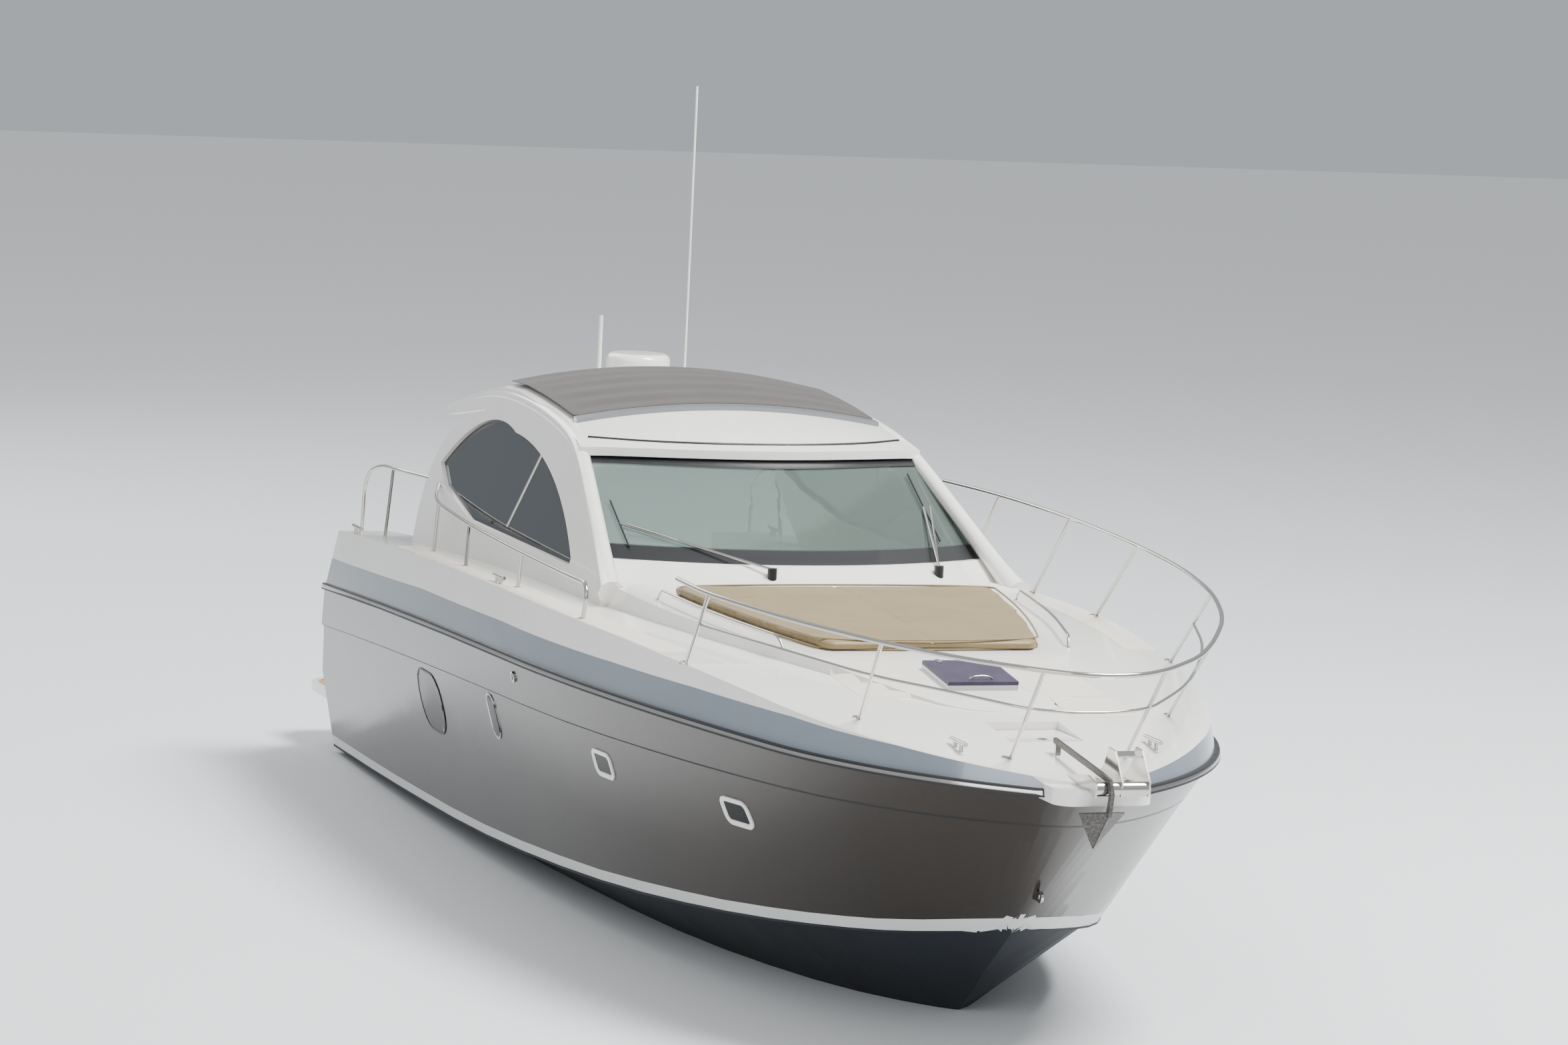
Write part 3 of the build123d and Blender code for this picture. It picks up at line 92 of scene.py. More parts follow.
def add(tree, kind, links=None, **settings):
    """One node in a tree, with its settings; links gives its sockets values or other sockets."""
    made = tree.nodes.new(kind)
    for name, value in settings.items():
        setattr(made, name, value)
    for socket, value in (links or {}).items():
        if isinstance(value, bpy.types.NodeSocket):
            tree.links.new(value, made.inputs[socket])
        else:
            made.inputs[socket].default_value = value
    return made


def new_material(name, **values):
    """Material with one Principled shader; values set its sockets. Gives material, tree and shader."""
    material = bpy.data.materials.new(name)
    material.use_nodes = True
    shader = material.node_tree.nodes["Principled BSDF"]
    for socket, value in values.items():
        shader.inputs[socket.replace("_", " ")].default_value = value
    return material, material.node_tree, shader


FLOOR_SIZE = 200
paper, tree, shader = new_material("backdrop_paper", Base_Color=paint("#DDE0E2"), Roughness=0.85)
bm = bmesh.new()
bmesh.ops.create_grid(bm, x_segments=1, y_segments=1, size=FLOOR_SIZE / 2)
floor = bpy.data.objects.new("floor", bpy.data.meshes.new("floor"))
bm.to_mesh(floor.data)
bm.free()
floor.data.materials.append(paper)
bpy.context.collection.objects.link(floor)

# Light. A broad pale sky, brighter overhead, with a large soft lamp high over the port side, a weaker one off
# the starboard bow and another astern.
LAMP_AIM = Vector((0, 0, 1))
LAMPS = [("key_lamp", (7, 9, 24), 10, 16000), ("fill_lamp", (20, -18, 12), 14, 1800),
         ("back_lamp", (-22, -6, 16), 14, 2500)]

world = bpy.data.worlds.new("studio")
world.use_nodes = True
bpy.context.scene.world = world
tree = world.node_tree
tree.nodes.clear()
where = add(tree, "ShaderNodeTexCoord")
split = add(tree, "ShaderNodeSeparateXYZ", {"Vector": where.outputs["Generated"]})
ramp = add(tree, "ShaderNodeValToRGB", {"Fac": split.outputs["Z"]})
ramp.color_ramp.elements[0].position = 0.0
ramp.color_ramp.elements[0].color = paint("#C2C9CF")
ramp.color_ramp.elements[1].position = 0.6
ramp.color_ramp.elements[1].color = paint("#F6F8FA")
sky = add(tree, "ShaderNodeBackground", {"Color": ramp.outputs["Color"], "Strength": 0.8})
add(tree, "ShaderNodeOutputWorld", {"Surface": sky.outputs["Background"]})


def soft_lamp(name, place, size, watts):
    """Square area lamp that faces the middle of the boat."""
    lamp = bpy.data.objects.new(name, bpy.data.lights.new(name, "AREA"))
    lamp.data.size = size
    lamp.data.energy = watts
    lamp.location = place
    lamp.rotation_euler = (Vector(place) - LAMP_AIM).to_track_quat("Z", "Y").to_euler()
    bpy.context.collection.objects.link(lamp)


for lamp in LAMPS:
    soft_lamp(*lamp)


# Hull. Glass-fibre shell in a metallic grey gelcoat, polished. Dark antifouling covers its bottom up to the
# chine, with a white boot strip above that. A narrow near-black band under the knuckle is painted shade under its
# step.
# The cockpit cut into it is white, with teak laid on its sole and steps.
STERN_X = -5.59
CHINE_LINE = [(-5.6, 0.06), (-3.6, 0.11), (-2.008, 0.158), (-1.2, 0.19), (-0.396, 0.233), (1.115, 0.33),
              (2.717, 0.45), (3.453, 0.517), (3.918, 0.567), (4.138, 0.6), (4.262, 0.625), (4.6, 0.69)]
KNUCKLE_LINE = [(-5.6, 0.986), (-3.6, 1.139), (-2.013, 1.237), (-0.382, 1.311), (1.834, 1.371), (3.798, 1.398),
                (5.183, 1.4)]
# Height of the band under the knuckle that is painted near-black as its shade.
KNUCKLE_SHADE_BAND = 0.02
BOOT_HEIGHT = 0.07
WELL_FLOOR = 0.56
WELL_HALF = 1.3
WELL_FORE = 0.85
BAY = ((-3.96, -2.34), 0.97, -0.105)
LOCKER_FLOOR = 1.4
LOCKER_HALF = 0.22
LOCKER_FORE = 4.7
TRANSOM_PAINT = 0.12
SAME_POINT = 0.0001
FAIR_REACH = 0.5


def body_of(node):
    """Moving body, or the boat, that a node belongs to."""
    return nodes[node]["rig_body"]


def joined(node):
    """A node's mesh as a bmesh, with its loose triangles joined, in pairs where they make a flat quad."""
    work = bmesh.new()
    work.from_mesh(nodes[node].data)
    bmesh.ops.remove_doubles(work, verts=work.verts, dist=0.00002)
    bmesh.ops.join_triangles(work, faces=work.faces, angle_face_threshold=math.radians(6),
                             angle_shape_threshold=math.radians(80))
    return work


def probe(node):
    """Tree that finds points on a node's surface."""
    work = joined(node)
    tree = BVHTree.FromBMesh(work)
    work.free()
    return tree


def shade(work, sharp):
    """Smooth faces, with the edges sharper than an angle in degrees left hard."""
    for face in work.faces:
        face.smooth = True
    for edge in work.edges:
        edge.smooth = edge.is_manifold and edge.calc_face_angle(0) < math.radians(sharp)


def finish_piece(name, work, materials, body="boat", sharp=30):
    """Makes an object from a bmesh, gives it its materials and lets it ride on a body."""
    made = bpy.data.objects.new(name, bpy.data.meshes.new(name))
    bpy.context.collection.objects.link(made)
    shade(work, sharp)
    work.to_mesh(made.data)
    work.free()
    for material in materials:
        made.data.materials.append(material)
    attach(made, body)
    return made


def dress(node, slot, *materials, sharp=30, choose=None, shape=None):
    """Stands a smooth copy of a node in its place; choose gives each face its material's number."""
    work = joined(node)
    if shape:
        shape(work)
    if choose:
        for face in work.faces:
            face.material_index = choose(face)
    made = finish_piece(node + "_finish", work, materials, body_of(node), sharp)
    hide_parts(node)
    return made


def two_tone(tree, shader, scale, detail, dark, light):
    """Lets the colour wander between two tones, in cloudy patches."""
    where = add(tree, "ShaderNodeTexCoord")
    cloud = add(tree, "ShaderNodeTexNoise", {"Vector": where.outputs["Object"], "Scale": scale, "Detail": detail})
    tone = add(tree, "ShaderNodeMixRGB", {"Fac": cloud.outputs["Fac"], "Color1": paint(dark), "Color2": paint(light)})
    tree.links.new(tone.outputs["Color"], shader.inputs["Base Color"])


def uneven_gloss(tree, shader, scale, detail, low, high):
    """Lets the roughness wander between two values, as handling and weather leave it."""
    where = add(tree, "ShaderNodeTexCoord")
    smear = add(tree, "ShaderNodeTexNoise", {"Vector": where.outputs["Object"], "Scale": scale, "Detail": detail})
    dull = add(tree, "ShaderNodeMapRange", {"Value": smear.outputs["Fac"], "To Min": low, "To Max": high})
    tree.links.new(dull.outputs["Result"], shader.inputs["Roughness"])


# Metallic gelcoat: fine flakes give a cloudy sparkle under a clear, hard gloss.
FLAKE = 0.004
gelcoat_grey, tree, shader = new_material("gelcoat_metallic_grey", Metallic=0.35, Coat_Weight=0.5,
                                          Coat_Roughness=0.03)
where = add(tree, "ShaderNodeTexCoord")
flakes = add(tree, "ShaderNodeTexVoronoi", {"Vector": where.outputs["Object"], "Scale": 1 / FLAKE})
gloss = add(tree, "ShaderNodeMapRange", {"Value": flakes.outputs["Distance"], "To Min": 0.24, "To Max": 0.36})
tree.links.new(gloss.outputs["Result"], shader.inputs["Roughness"])
two_tone(tree, shader, 0.5, 3, "#26211D", "#3B332C")

# Antifouling: rolled on, matt and slightly uneven.
antifoul, tree, shader = new_material("antifouling_paint", Roughness=0.65)
two_tone(tree, shader, 2.5, 6, "#0E1218", "#1E242C")
boot_white, tree, shader = new_material("boot_strip_enamel", Base_Color=paint("#D9DAD8"), Roughness=0.3)
# Near-black vinyl: black trim round the hull pane and in the locker lid's seam, and painted shade on the narrow band
# under the knuckle.
black_trim_and_knuckle_shade, tree, shader = new_material("vinyl_black_and_painted_knuckle_shade", Base_Color=paint("#17181B"), Roughness=0.4)

# White gelcoat: out of a polished mould, clear and even, a touch warmer where it is thick.
gelcoat_white, tree, shader = new_material("gelcoat_white", Roughness=0.16, Coat_Weight=0.6, Coat_Roughness=0.05)
two_tone(tree, shader, 1.3, 4, "#E9E7E0", "#F5F4F0")

# Teak: planks 55 mm wide with black caulking between them, each a slightly different brown, with long grain.
PLANK = 0.055
CAULKING = 0.1
teak, tree, shader = new_material("teak_planks", Roughness=0.55)
where = add(tree, "ShaderNodeTexCoord")
split = add(tree, "ShaderNodeSeparateXYZ", {"Vector": where.outputs["Object"]})
across = add(tree, "ShaderNodeMath", {0: split.outputs["Y"], 1: 1 / PLANK}, operation="MULTIPLY")
seat = add(tree, "ShaderNodeMath", {0: across.outputs[0]}, operation="FRACT")
seam = add(tree, "ShaderNodeMath", {0: seat.outputs[0], 1: CAULKING}, operation="LESS_THAN")
which = add(tree, "ShaderNodeMath", {0: across.outputs[0]}, operation="FLOOR")
board = add(tree, "ShaderNodeTexWhiteNoise", {"W": which.outputs[0]}, noise_dimensions="1D")
long_grain = add(tree, "ShaderNodeMapping", {"Vector": where.outputs["Object"], "Scale": (3, 60, 60)})
grain = add(tree, "ShaderNodeTexNoise", {"Vector": long_grain.outputs["Vector"], "Scale": 2, "Detail": 5})
mixed = add(tree, "ShaderNodeMath", {0: board.outputs["Value"], 1: grain.outputs["Fac"]}, operation="MULTIPLY")
wood = add(tree, "ShaderNodeMixRGB", {"Fac": mixed.outputs[0], "Color1": paint("#B98B5A"),
                                      "Color2": paint("#7F5530")})
caulked = add(tree, "ShaderNodeMixRGB", {"Fac": seam.outputs[0], "Color1": wood.outputs["Color"],
                                         "Color2": paint("#17181A")})
tree.links.new(caulked.outputs["Color"], shader.inputs["Base Color"])


def over_line(line, point):
    """Height of a point over a line of (x, z) points."""
    for (x0, z0), (x1, z1) in zip(line, line[1:]):
        if point.x <= x1:
            return point.z - z0 - (z1 - z0) * (point.x - x0) / (x1 - x0)
    return point.z - line[-1][1]


def cut_along(work, line, rise, pick):
    """Cuts the picked faces along a line of (x, z) points, raised by a height."""
    upright = [((x, 0, 0), (1, 0, 0), x - 2, x + 2) for x, _ in line]
    slanted = [((x0, 0, z0 + rise), (z0 - z1, 0, x1 - x0), x0, x1) for (x0, z0), (x1, z1) in zip(line, line[1:])]
    for spot, normal, low, high in upright + slanted:
        span = [face for face in work.faces if pick(face) and low < face.calc_center_median().x < high]
        parts = {part for face in span for part in (face, *face.edges, *face.verts)}
        bmesh.ops.bisect_plane(work, geom=list(parts), plane_co=spot, plane_no=normal, dist=SAME_POINT)


def outer_side(face):
    """Whether a face is on the topside, just over the chine."""
    at = face.calc_center_median()
    return abs(face.normal.y) > 0.2 and abs(over_line(CHINE_LINE, at)) < 0.9 and at.z < 1.36 and (
        abs(at.y) > WELL_HALF or at.x > WELL_FORE)


def on_transom(face):
    """Whether a face is on the flat stern."""
    return face.normal.x < -0.95 and face.calc_center_median().x < STERN_X


def cut_paint_lines(work):
    """Cuts the topside and transom along the top of the bottom paint and of the boot strip."""
    cut_along(work, CHINE_LINE, BOOT_HEIGHT, outer_side)
    for high in (TRANSOM_PAINT - BOOT_HEIGHT, TRANSOM_PAINT):
        flat = [face for face in work.faces if on_transom(face)]
        parts = {part for face in flat for part in (face, *face.edges, *face.verts)}
        bmesh.ops.bisect_plane(work, geom=list(parts), plane_co=(0, 0, high), plane_no=(0, 0, 1),
                               dist=SAME_POINT)


def hull_part_of(face):
    """0 topside, 1 bottom, 2 boot strip, 3 painted shade under the knuckle, 4 white inside, 5 teak."""
    at = face.calc_center_median()
    if on_transom(face):
        return 0 if at.z > TRANSOM_PAINT else 2 if at.z > TRANSOM_PAINT - BOOT_HEIGHT else 1
    (x0, x1), half, floor_z = BAY
    if x0 < at.x < x1 and abs(at.y) < half and floor_z < at.z < WELL_FLOOR:
        return 4
    in_well = at.z > WELL_FLOOR and at.x < WELL_FORE and abs(at.y) < WELL_HALF
    in_locker = at.z > LOCKER_FLOOR and at.x < LOCKER_FORE and abs(at.y) < LOCKER_HALF
    if in_well or in_locker:
        return 5 if face.normal.z > 0.9 and at.x < 0 else 4
    # The narrow band just under the knuckle line is painted near-black: painted shade under the knuckle's step.
    if abs(over_line(KNUCKLE_LINE, at) + KNUCKLE_SHADE_BAND / 2) < KNUCKLE_SHADE_BAND / 2:
        return 3
    high = over_line(CHINE_LINE, at)
    return 1 if high < 0 else 2 if high < BOOT_HEIGHT else 0


def fair(made, picked, reach):
    """Fairs the normals of a moulded surface: each becomes the mean of those within reach, on its own side."""
    faces = [face for face in made.data.polygons if picked(face)]
    tree = KDTree(len(faces))
    for k, face in enumerate(faces):
        tree.insert(face.center, k)
    tree.balance()
    normals = [(0, 0, 0)] * len(made.data.loops)
    known = {}
    for face in faces:
        for loop in face.loop_indices:
            vert = made.data.loops[loop].vertex_index
            side = face.normal.y > 0
            if (vert, side) not in known:
                mean = Vector()
                for _, k, far in tree.find_range(made.data.vertices[vert].co, reach):
                    if (faces[k].normal.y > 0) == side:
                        mean += faces[k].normal * faces[k].area * (1 - far / reach)
                known[vert, side] = mean.normalized()
            normals[loop] = known[vert, side]
    made.data.normals_split_custom_set(normals)


def on_topside(face):
    """Whether a finished face is on the topside or the boot strip; slivers don't count."""
    return face.material_index in (0, 2) and abs(face.normal.y) > 0.35 and face.area > 0.0001


moulded = dress("hull", "hull_gelcoat", gelcoat_grey, antifoul, boot_white, black_trim_and_knuckle_shade, gelcoat_white, teak,
                sharp=24, choose=hull_part_of, shape=cut_paint_lines)
fair(moulded, on_topside, FAIR_REACH)

# Hull lights. Two rounded opening ports forward, in white frames screwed to the topside. Amidships a tall oval
# port, a larger D-shaped pane of dark glass bonded flush, and a small round vent with a polished rim.
PORT_SIZE = (0.27, 0.17, 0.055)
PORTS = [(1.67, 1.16), (3.23, 1.14)]
OVAL_SIZE = (0.19, 0.3, 0.09)
OVAL_AT = (-0.34, 1.13)
PANE_SIZE = (0.6, 0.42, 0.19)
PANE_AT = (-1.95, 0.97)
VENT_AT = (0.39, 1.5)
VENT_R = 0.035
RIM = 0.026
BEDDED = 0.01
SHEET_CELL = 0.06
SIDES = ((1, "port"), (-1, "starboard"))

hull_glass, tree, shader = new_material("glass_near_black", Base_Color=paint("#060708"), Roughness=0.08,
                                        Specular_IOR_Level=0.3)
stainless, tree, shader = new_material("stainless_polished", Base_Color=paint("#C2BFBA"), Metallic=1, Roughness=0.12)
uneven_gloss(tree, shader, 18, 4, 0.07, 0.2)

hull_skin = probe("hull")


def touch(skin, start, along):
    """Point and normal where a line meets a surface; a line that just hits an edge is moved by a hair."""
    for aside in (0, 0.0003, -0.0005):
        spot, normal, _, _ = skin.ray_cast(Vector(start) + Vector((aside, aside, aside)), Vector(along))
        if spot:
            return spot, normal
    return skin.find_nearest(start)[:2]


def on_side(side, x, z):
    """Rule that lays a flat piece on the topside: u along the boat, v up, w out from the surface."""
    def place(u, v, w):
        spot, normal = touch(hull_skin, (x + u, side * 4, z + v), (0, -side, 0))
        return spot + normal * w
    return place


def rounded_sheet(length, width, corner):
    """Flat sheet with rounded corners, in its own x and y."""
    sheet = bmesh.new()
    bmesh.ops.create_grid(sheet, x_segments=1, y_segments=1, size=0.5)
    bmesh.ops.scale(sheet, vec=(length, width, 1), verts=sheet.verts)
    bmesh.ops.bevel(sheet, geom=sheet.verts[:], offset=corner, segments=6, profile=0.5, affect="VERTICES",
                    material=-1)
    return sheet


def cut_fine(sheet, spacing):
    """Cuts a sheet across its length and width, so that it can follow a curve."""
    for axis in (0, 1):
        low = min(vert.co[axis] for vert in sheet.verts)
        high = max(vert.co[axis] for vert in sheet.verts)
        for k in range(1, math.ceil((high - low) / spacing)):
            spot, normal = Vector(), Vector()
            spot[axis], normal[axis] = low + k * spacing, 1
            bmesh.ops.bisect_plane(sheet, geom=sheet.verts[:] + sheet.edges[:] + sheet.faces[:],
                                   plane_co=spot, plane_no=normal)


def thicken(sheet, low, high):
    """Gives a flat sheet its thickness, between two heights, and gives its top faces."""
    bmesh.ops.translate(sheet, vec=(0, 0, low), verts=sheet.verts)
    made = bmesh.ops.extrude_face_region(sheet, geom=sheet.faces[:], use_keep_orig=True)["geom"]
    bmesh.ops.translate(sheet, vec=(0, 0, high - low),
                        verts=[part for part in made if isinstance(part, bmesh.types.BMVert)])
    bmesh.ops.recalc_face_normals(sheet, faces=sheet.faces)
    return [part for part in made if isinstance(part, bmesh.types.BMFace)]


def set_in(sheet, faces, margin, depth, material, even=True):
    """Sets faces in from their border, and sinks them; they take a material's number."""
    bmesh.ops.inset_region(sheet, faces=faces, thickness=margin, depth=depth, use_even_offset=even)
    for face in faces:
        face.material_index = material


def lay(sheet, place):
    """Moves each point of a sheet to its place on a surface."""
    for vert in sheet.verts:
        vert.co = place(*vert.co)
    bmesh.ops.recalc_face_normals(sheet, faces=sheet.faces)


for side, name in SIDES:
    for k, (x, z) in enumerate(PORTS):
        sheet = rounded_sheet(*PORT_SIZE)
        cut_fine(sheet, SHEET_CELL)
        top = thicken(sheet, -BEDDED, 0.01)
        set_in(sheet, top, RIM, 0, 0, even=False)
        set_in(sheet, top, 0.003, -0.007, 1, even=False)
        lay(sheet, on_side(side, x, z))
        finish_piece("hull_port_%s_%d" % (name, k + 1), sheet, [gelcoat_white, hull_glass])
    for piece, size, place, rim, metal in (("oval_port", OVAL_SIZE, OVAL_AT, 0.014, stainless),
                                           ("hull_pane", PANE_SIZE, PANE_AT, 0.012, black_trim_and_knuckle_shade)):
        sheet = rounded_sheet(*size)
        cut_fine(sheet, SHEET_CELL)
        top = thicken(sheet, -BEDDED, 0.006)
        set_in(sheet, top, rim, 0, 0, even=False)
        set_in(sheet, top, 0.003, -0.003, 1, even=False)
        lay(sheet, on_side(side, *place))
        finish_piece("%s_%s" % (piece, name), sheet, [metal, hull_glass])
    sheet = bmesh.new()
    bmesh.ops.create_circle(sheet, cap_ends=True, segments=24, radius=VENT_R)
    top = thicken(sheet, -BEDDED, 0.012)
    set_in(sheet, top, 0.012, 0, 0)
    set_in(sheet, top, 0.002, -0.01, 1)
    lay(sheet, on_side(side, *VENT_AT))
    finish_piece("hull_vent_" + name, sheet, [stainless, hull_glass])

# Deck. One white glass-fibre moulding, polished, with a silver-grey band on the bulwark above the rub rail. The band
# reaches only half way up; the white over it is a painted highlight, where the rounded top of the bulwark reflects
# the sky.
# Non-skid panels, cast in with a fine pebbled grain, lie along the side decks and beside the foredeck hatch.
BULWARK_REACH = 0.45
# Top of the grey band on the deck's outer face; the white above it is a painted highlight, where the rounded bulwark
# top reflects the sky.
BULWARK_HIGHLIGHT_FOOT = [(-5.0, 1.54), (-2.0, 1.73), (0.0, 1.80), (2.0, 1.836), (3.0, 1.842), (4.0, 1.83), (5.0, 1.76),
               (5.7, 1.75)]
SIDE_PANEL = (5.6, 0.2, 0.05)
SIDE_PANEL_X = -0.3
PANEL_IN = 0.14
FORE_PANEL = (0.62, 0.5, 0.08)
FORE_PANEL_AT = (3.42, 0.52)
LID_SIZE = (0.42, 0.4, 0.03)
LID_AT = (3.98, 0.56)
SEAM = 0.008
PANEL_BED = 0.001
PANEL_HIGH = 0.0015
PANEL_CELL = 0.1
NONSKID_GRAIN = 0.006

bulwark_grey, tree, shader = new_material("gelcoat_silver_grey", Metallic=0.25, Roughness=0.2, Coat_Weight=0.8)
two_tone(tree, shader, 0.7, 3, "#7C8791", "#929BA3")


def grained(tree, shader, grain, strength, high):
    """Raises a cast or pressed grain of a size and height."""
    where = add(tree, "ShaderNodeTexCoord")
    cells = add(tree, "ShaderNodeTexVoronoi", {"Vector": where.outputs["Object"], "Scale": 1 / grain})
    bump = add(tree, "ShaderNodeBump", {"Height": cells.outputs["Distance"], "Strength": strength, "Distance": high})
    tree.links.new(bump.outputs["Normal"], shader.inputs["Normal"])


nonskid, tree, shader = new_material("nonskid_gelcoat", Base_Color=paint("#D8D2C4"), Roughness=0.6)
grained(tree, shader, NONSKID_GRAIN, 0.6, 0.001)

rub_skin = probe("rub_rail")
deck_skin = probe("deck")


def deck_part_of(face):
    """0 polished white, which also covers the bulwark's upper part as a painted highlight; 1 silver-grey band."""
    at = face.calc_center_median()
    near = rub_skin.find_nearest(at, BULWARK_REACH)[0]
    plate = at.x > 5.15 and abs(at.y) < 0.3
    return int(near is not None and not plate and face.normal.z < 0.6 and over_line(BULWARK_HIGHLIGHT_FOOT, at) < 0)


def cut_bulwark(work):
    """Cuts the deck's outer face along the top of its grey band, where the white painted highlight begins."""
    cut_along(work, BULWARK_HIGHLIGHT_FOOT, 0, lambda face: face.normal.z < 0.9 and abs(face.calc_center_median().y) > 0.3)


def on_deck(x, y, skin=deck_skin, high=2.6):
    """Rule that lays a flat piece on a surface from above: u forward, v to port, w up."""
    def place(u, v, w):
        spot, normal = touch(skin, (x + u, y + v, high), (0, 0, -1))
        return spot + normal * w
    return place


def on_side_deck(side):
    """Rule that lays a long panel along the side deck, level with the deck's edge."""
    def place(u, v, w):
        x = SIDE_PANEL_X + u
        edge, _ = touch(deck_skin, (x, side * 4, 1.84), (0, -side, 0))
        return on_deck(x, edge.y - side * (PANEL_IN - v))(0, 0, w)
    return place


dress("deck", "white_gelcoat", gelcoat_white, bulwark_grey, sharp=32, choose=deck_part_of, shape=cut_bulwark)
for side, name in SIDES:
    for piece, size, place in (("side_deck_panel_", SIDE_PANEL, on_side_deck(side)),
                               ("foredeck_panel_", FORE_PANEL, on_deck(FORE_PANEL_AT[0], side * FORE_PANEL_AT[1]))):
        sheet = rounded_sheet(*size)
        cut_fine(sheet, PANEL_CELL)
        thicken(sheet, -PANEL_BED, PANEL_HIGH)
        lay(sheet, place)
        finish_piece(piece + name, sheet, [nonskid])
sheet = rounded_sheet(*LID_SIZE)
cut_fine(sheet, PANEL_CELL)
rim = bmesh.ops.inset_region(sheet, faces=sheet.faces[:], thickness=SEAM, use_even_offset=True)["faces"]
for face in rim:
    face.material_index = 1
thicken(sheet, -PANEL_BED, 0.002)
lay(sheet, on_deck(*LID_AT))
finish_piece("rope_locker_lid", sheet, [nonskid, black_trim_and_knuckle_shade])

# Rub rail. A black rubber fender strip along the sheer, with a polished steel band let into its face.
BAND_MARGIN = 0.013

rubber, tree, shader = new_material("rubber_black", Base_Color=paint("#1C1D20"), Roughness=0.5)
uneven_gloss(tree, shader, 9, 5, 0.4, 0.65)


def let_in_band(work):
    """Sets the steel band into the outer face of the rail."""
    bmesh.ops.dissolve_limit(work, angle_limit=math.radians(1), verts=work.verts, edges=work.edges)
    outer = []
    for face in work.faces:
        out = Vector((0, face.calc_center_median().y, 0)) + Vector((max(face.calc_center_median().x - 4.2, 0), 0, 0))
        if abs(face.normal.z) < 0.5 and face.normal.x > -0.9 and face.normal.dot(out) > 0.2:
            outer.append(face)
    set_in(work, outer, BAND_MARGIN, 0.002, 1, even=False)


dress("rub_rail", "rub_rail", rubber, stainless, shape=let_in_band, choose=lambda face: face.material_index)

# Hardtop. White glass-fibre roof on two leaning side mouldings. A fat rounded edge runs up each front pillar
# and back along the roof, and swells at its foot, where the pillar is bonded to the deck.
EDGE_LINE = [(0.80, 2.09), (0.62, 2.17), (0.0, 2.50), (-0.63, 2.815), (-1.01, 2.91), (-1.68, 2.98), (-2.45, 3.0),
             (-3.1, 2.93), (-3.62, 2.79)]
EDGE_RADII = [0.085, 0.062, 0.052, 0.05, 0.048, 0.046, 0.044, 0.04, 0.025]
WALL_LEAN = 0.3
WALL_FOOT_Z = 2.1
EDGE_FOOT_Y = 1.365

dress("hardtop", "white_gelcoat", gelcoat_white, sharp=28)


def applied(piece):
    """Mesh of a piece with its modifiers applied."""
    return bpy.data.meshes.new_from_object(piece.evaluated_get(bpy.context.evaluated_depsgraph_get()))


def bar(name, points, radius, material, body="boat", order=3, radii=None, closed=False):
    """Round bar along points; order 2 runs straight between them, 3 curves; a closed one runs round to its start."""
    line = bpy.data.curves.new(name, "CURVE")
    line.dimensions = "3D"
    line.bevel_depth = radius
    line.bevel_resolution = 3
    line.use_fill_caps = True
    spline = line.splines.new("NURBS")
    spline.points.add(len(points) - 1)
    for k, point in enumerate(points):
        spline.points[k].co = (*point, 1)
        spline.points[k].radius = radii[k] / radius if radii else 1
    spline.order_u = order
    spline.use_endpoint_u = not closed
    spline.use_cyclic_u = closed
    path = bpy.data.objects.new(name + "_path", line)
    bpy.context.collection.objects.link(path)
    made = bpy.data.objects.new(name, applied(path))
    bpy.data.objects.remove(path)
    bpy.context.collection.objects.link(made)
    made.data.materials.append(material)
    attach(made, body)
    return made


for side, name in SIDES:
    line = [(x, side * (EDGE_FOOT_Y - WALL_LEAN * (z - WALL_FOOT_Z)), z) for x, z in EDGE_LINE]
    bar("roof_edge_" + name, line, 0.05, gelcoat_white, radii=EDGE_RADII)

# Windshield and side windows. Bent safety glass with a grey-green tint, darker at the sides, bonded on a black
# rubber border. The aft half of each side window slides behind a bright upright with a pull on it.
GASKET = 0.024
UPRIGHT = [(-1.62, 2.2), (-1.38, 2.74)]
UPRIGHT_FOOT_Y = 1.368
UPRIGHT_R = 0.013

shield_glass, tree, shader = new_material("glass_grey_green", Base_Color=paint("#8C9F98"), Roughness=0.02, IOR=1.5,
                                          Transmission_Weight=0.8)
side_glass, tree, shader = new_material("glass_dark_tint", Base_Color=paint("#2B3136"), Roughness=0.02, IOR=1.5,
                                        Transmission_Weight=0.5)
trim_black, tree, shader = new_material("abs_black", Base_Color=paint("#1B1D1F"))
uneven_gloss(tree, shader, 900, 2, 0.28, 0.45)


def border_glass(work):
    """Black border round the outer face of each side window."""
    bmesh.ops.dissolve_limit(work, angle_limit=math.radians(1), verts=work.verts, edges=work.edges)
    outer = [face for face in work.faces
             if abs(face.normal.y) > 0.8 and face.normal.y * face.calc_center_median().y > 0]
    for face in bmesh.ops.inset_region(work, faces=outer, thickness=GASKET, use_even_offset=True)["faces"]:
        face.material_index = 1


dress("windshield", "windshield_glass", shield_glass)
dress("side_windows", "tinted_glass", side_glass, trim_black, shape=border_glass,
      choose=lambda face: face.material_index)
dress("windshield_frame", "black_trim", trim_black)
for side, name in SIDES:
    line = [(x, side * (UPRIGHT_FOOT_Y - WALL_LEAN * (z - WALL_FOOT_Z)), z) for x, z in UPRIGHT]
    bar("window_upright_" + name, line, UPRIGHT_R, stainless, order=2)

# Header shadow bead. A black bead along the header, over the windshield: painted shade, a dark line where the roof's
# front edge shades the header.
BEAD_HALF = 1.08
BEAD_Z = 2.9
BEAD_R = 0.011

hardtop_skin = probe("hardtop")
line = [touch(hardtop_skin, (3, BEAD_HALF * (k / 6 - 1), BEAD_Z), (-1, 0, 0))[0] for k in range(13)]
bar("header_shadow_bead", line, BEAD_R, trim_black)

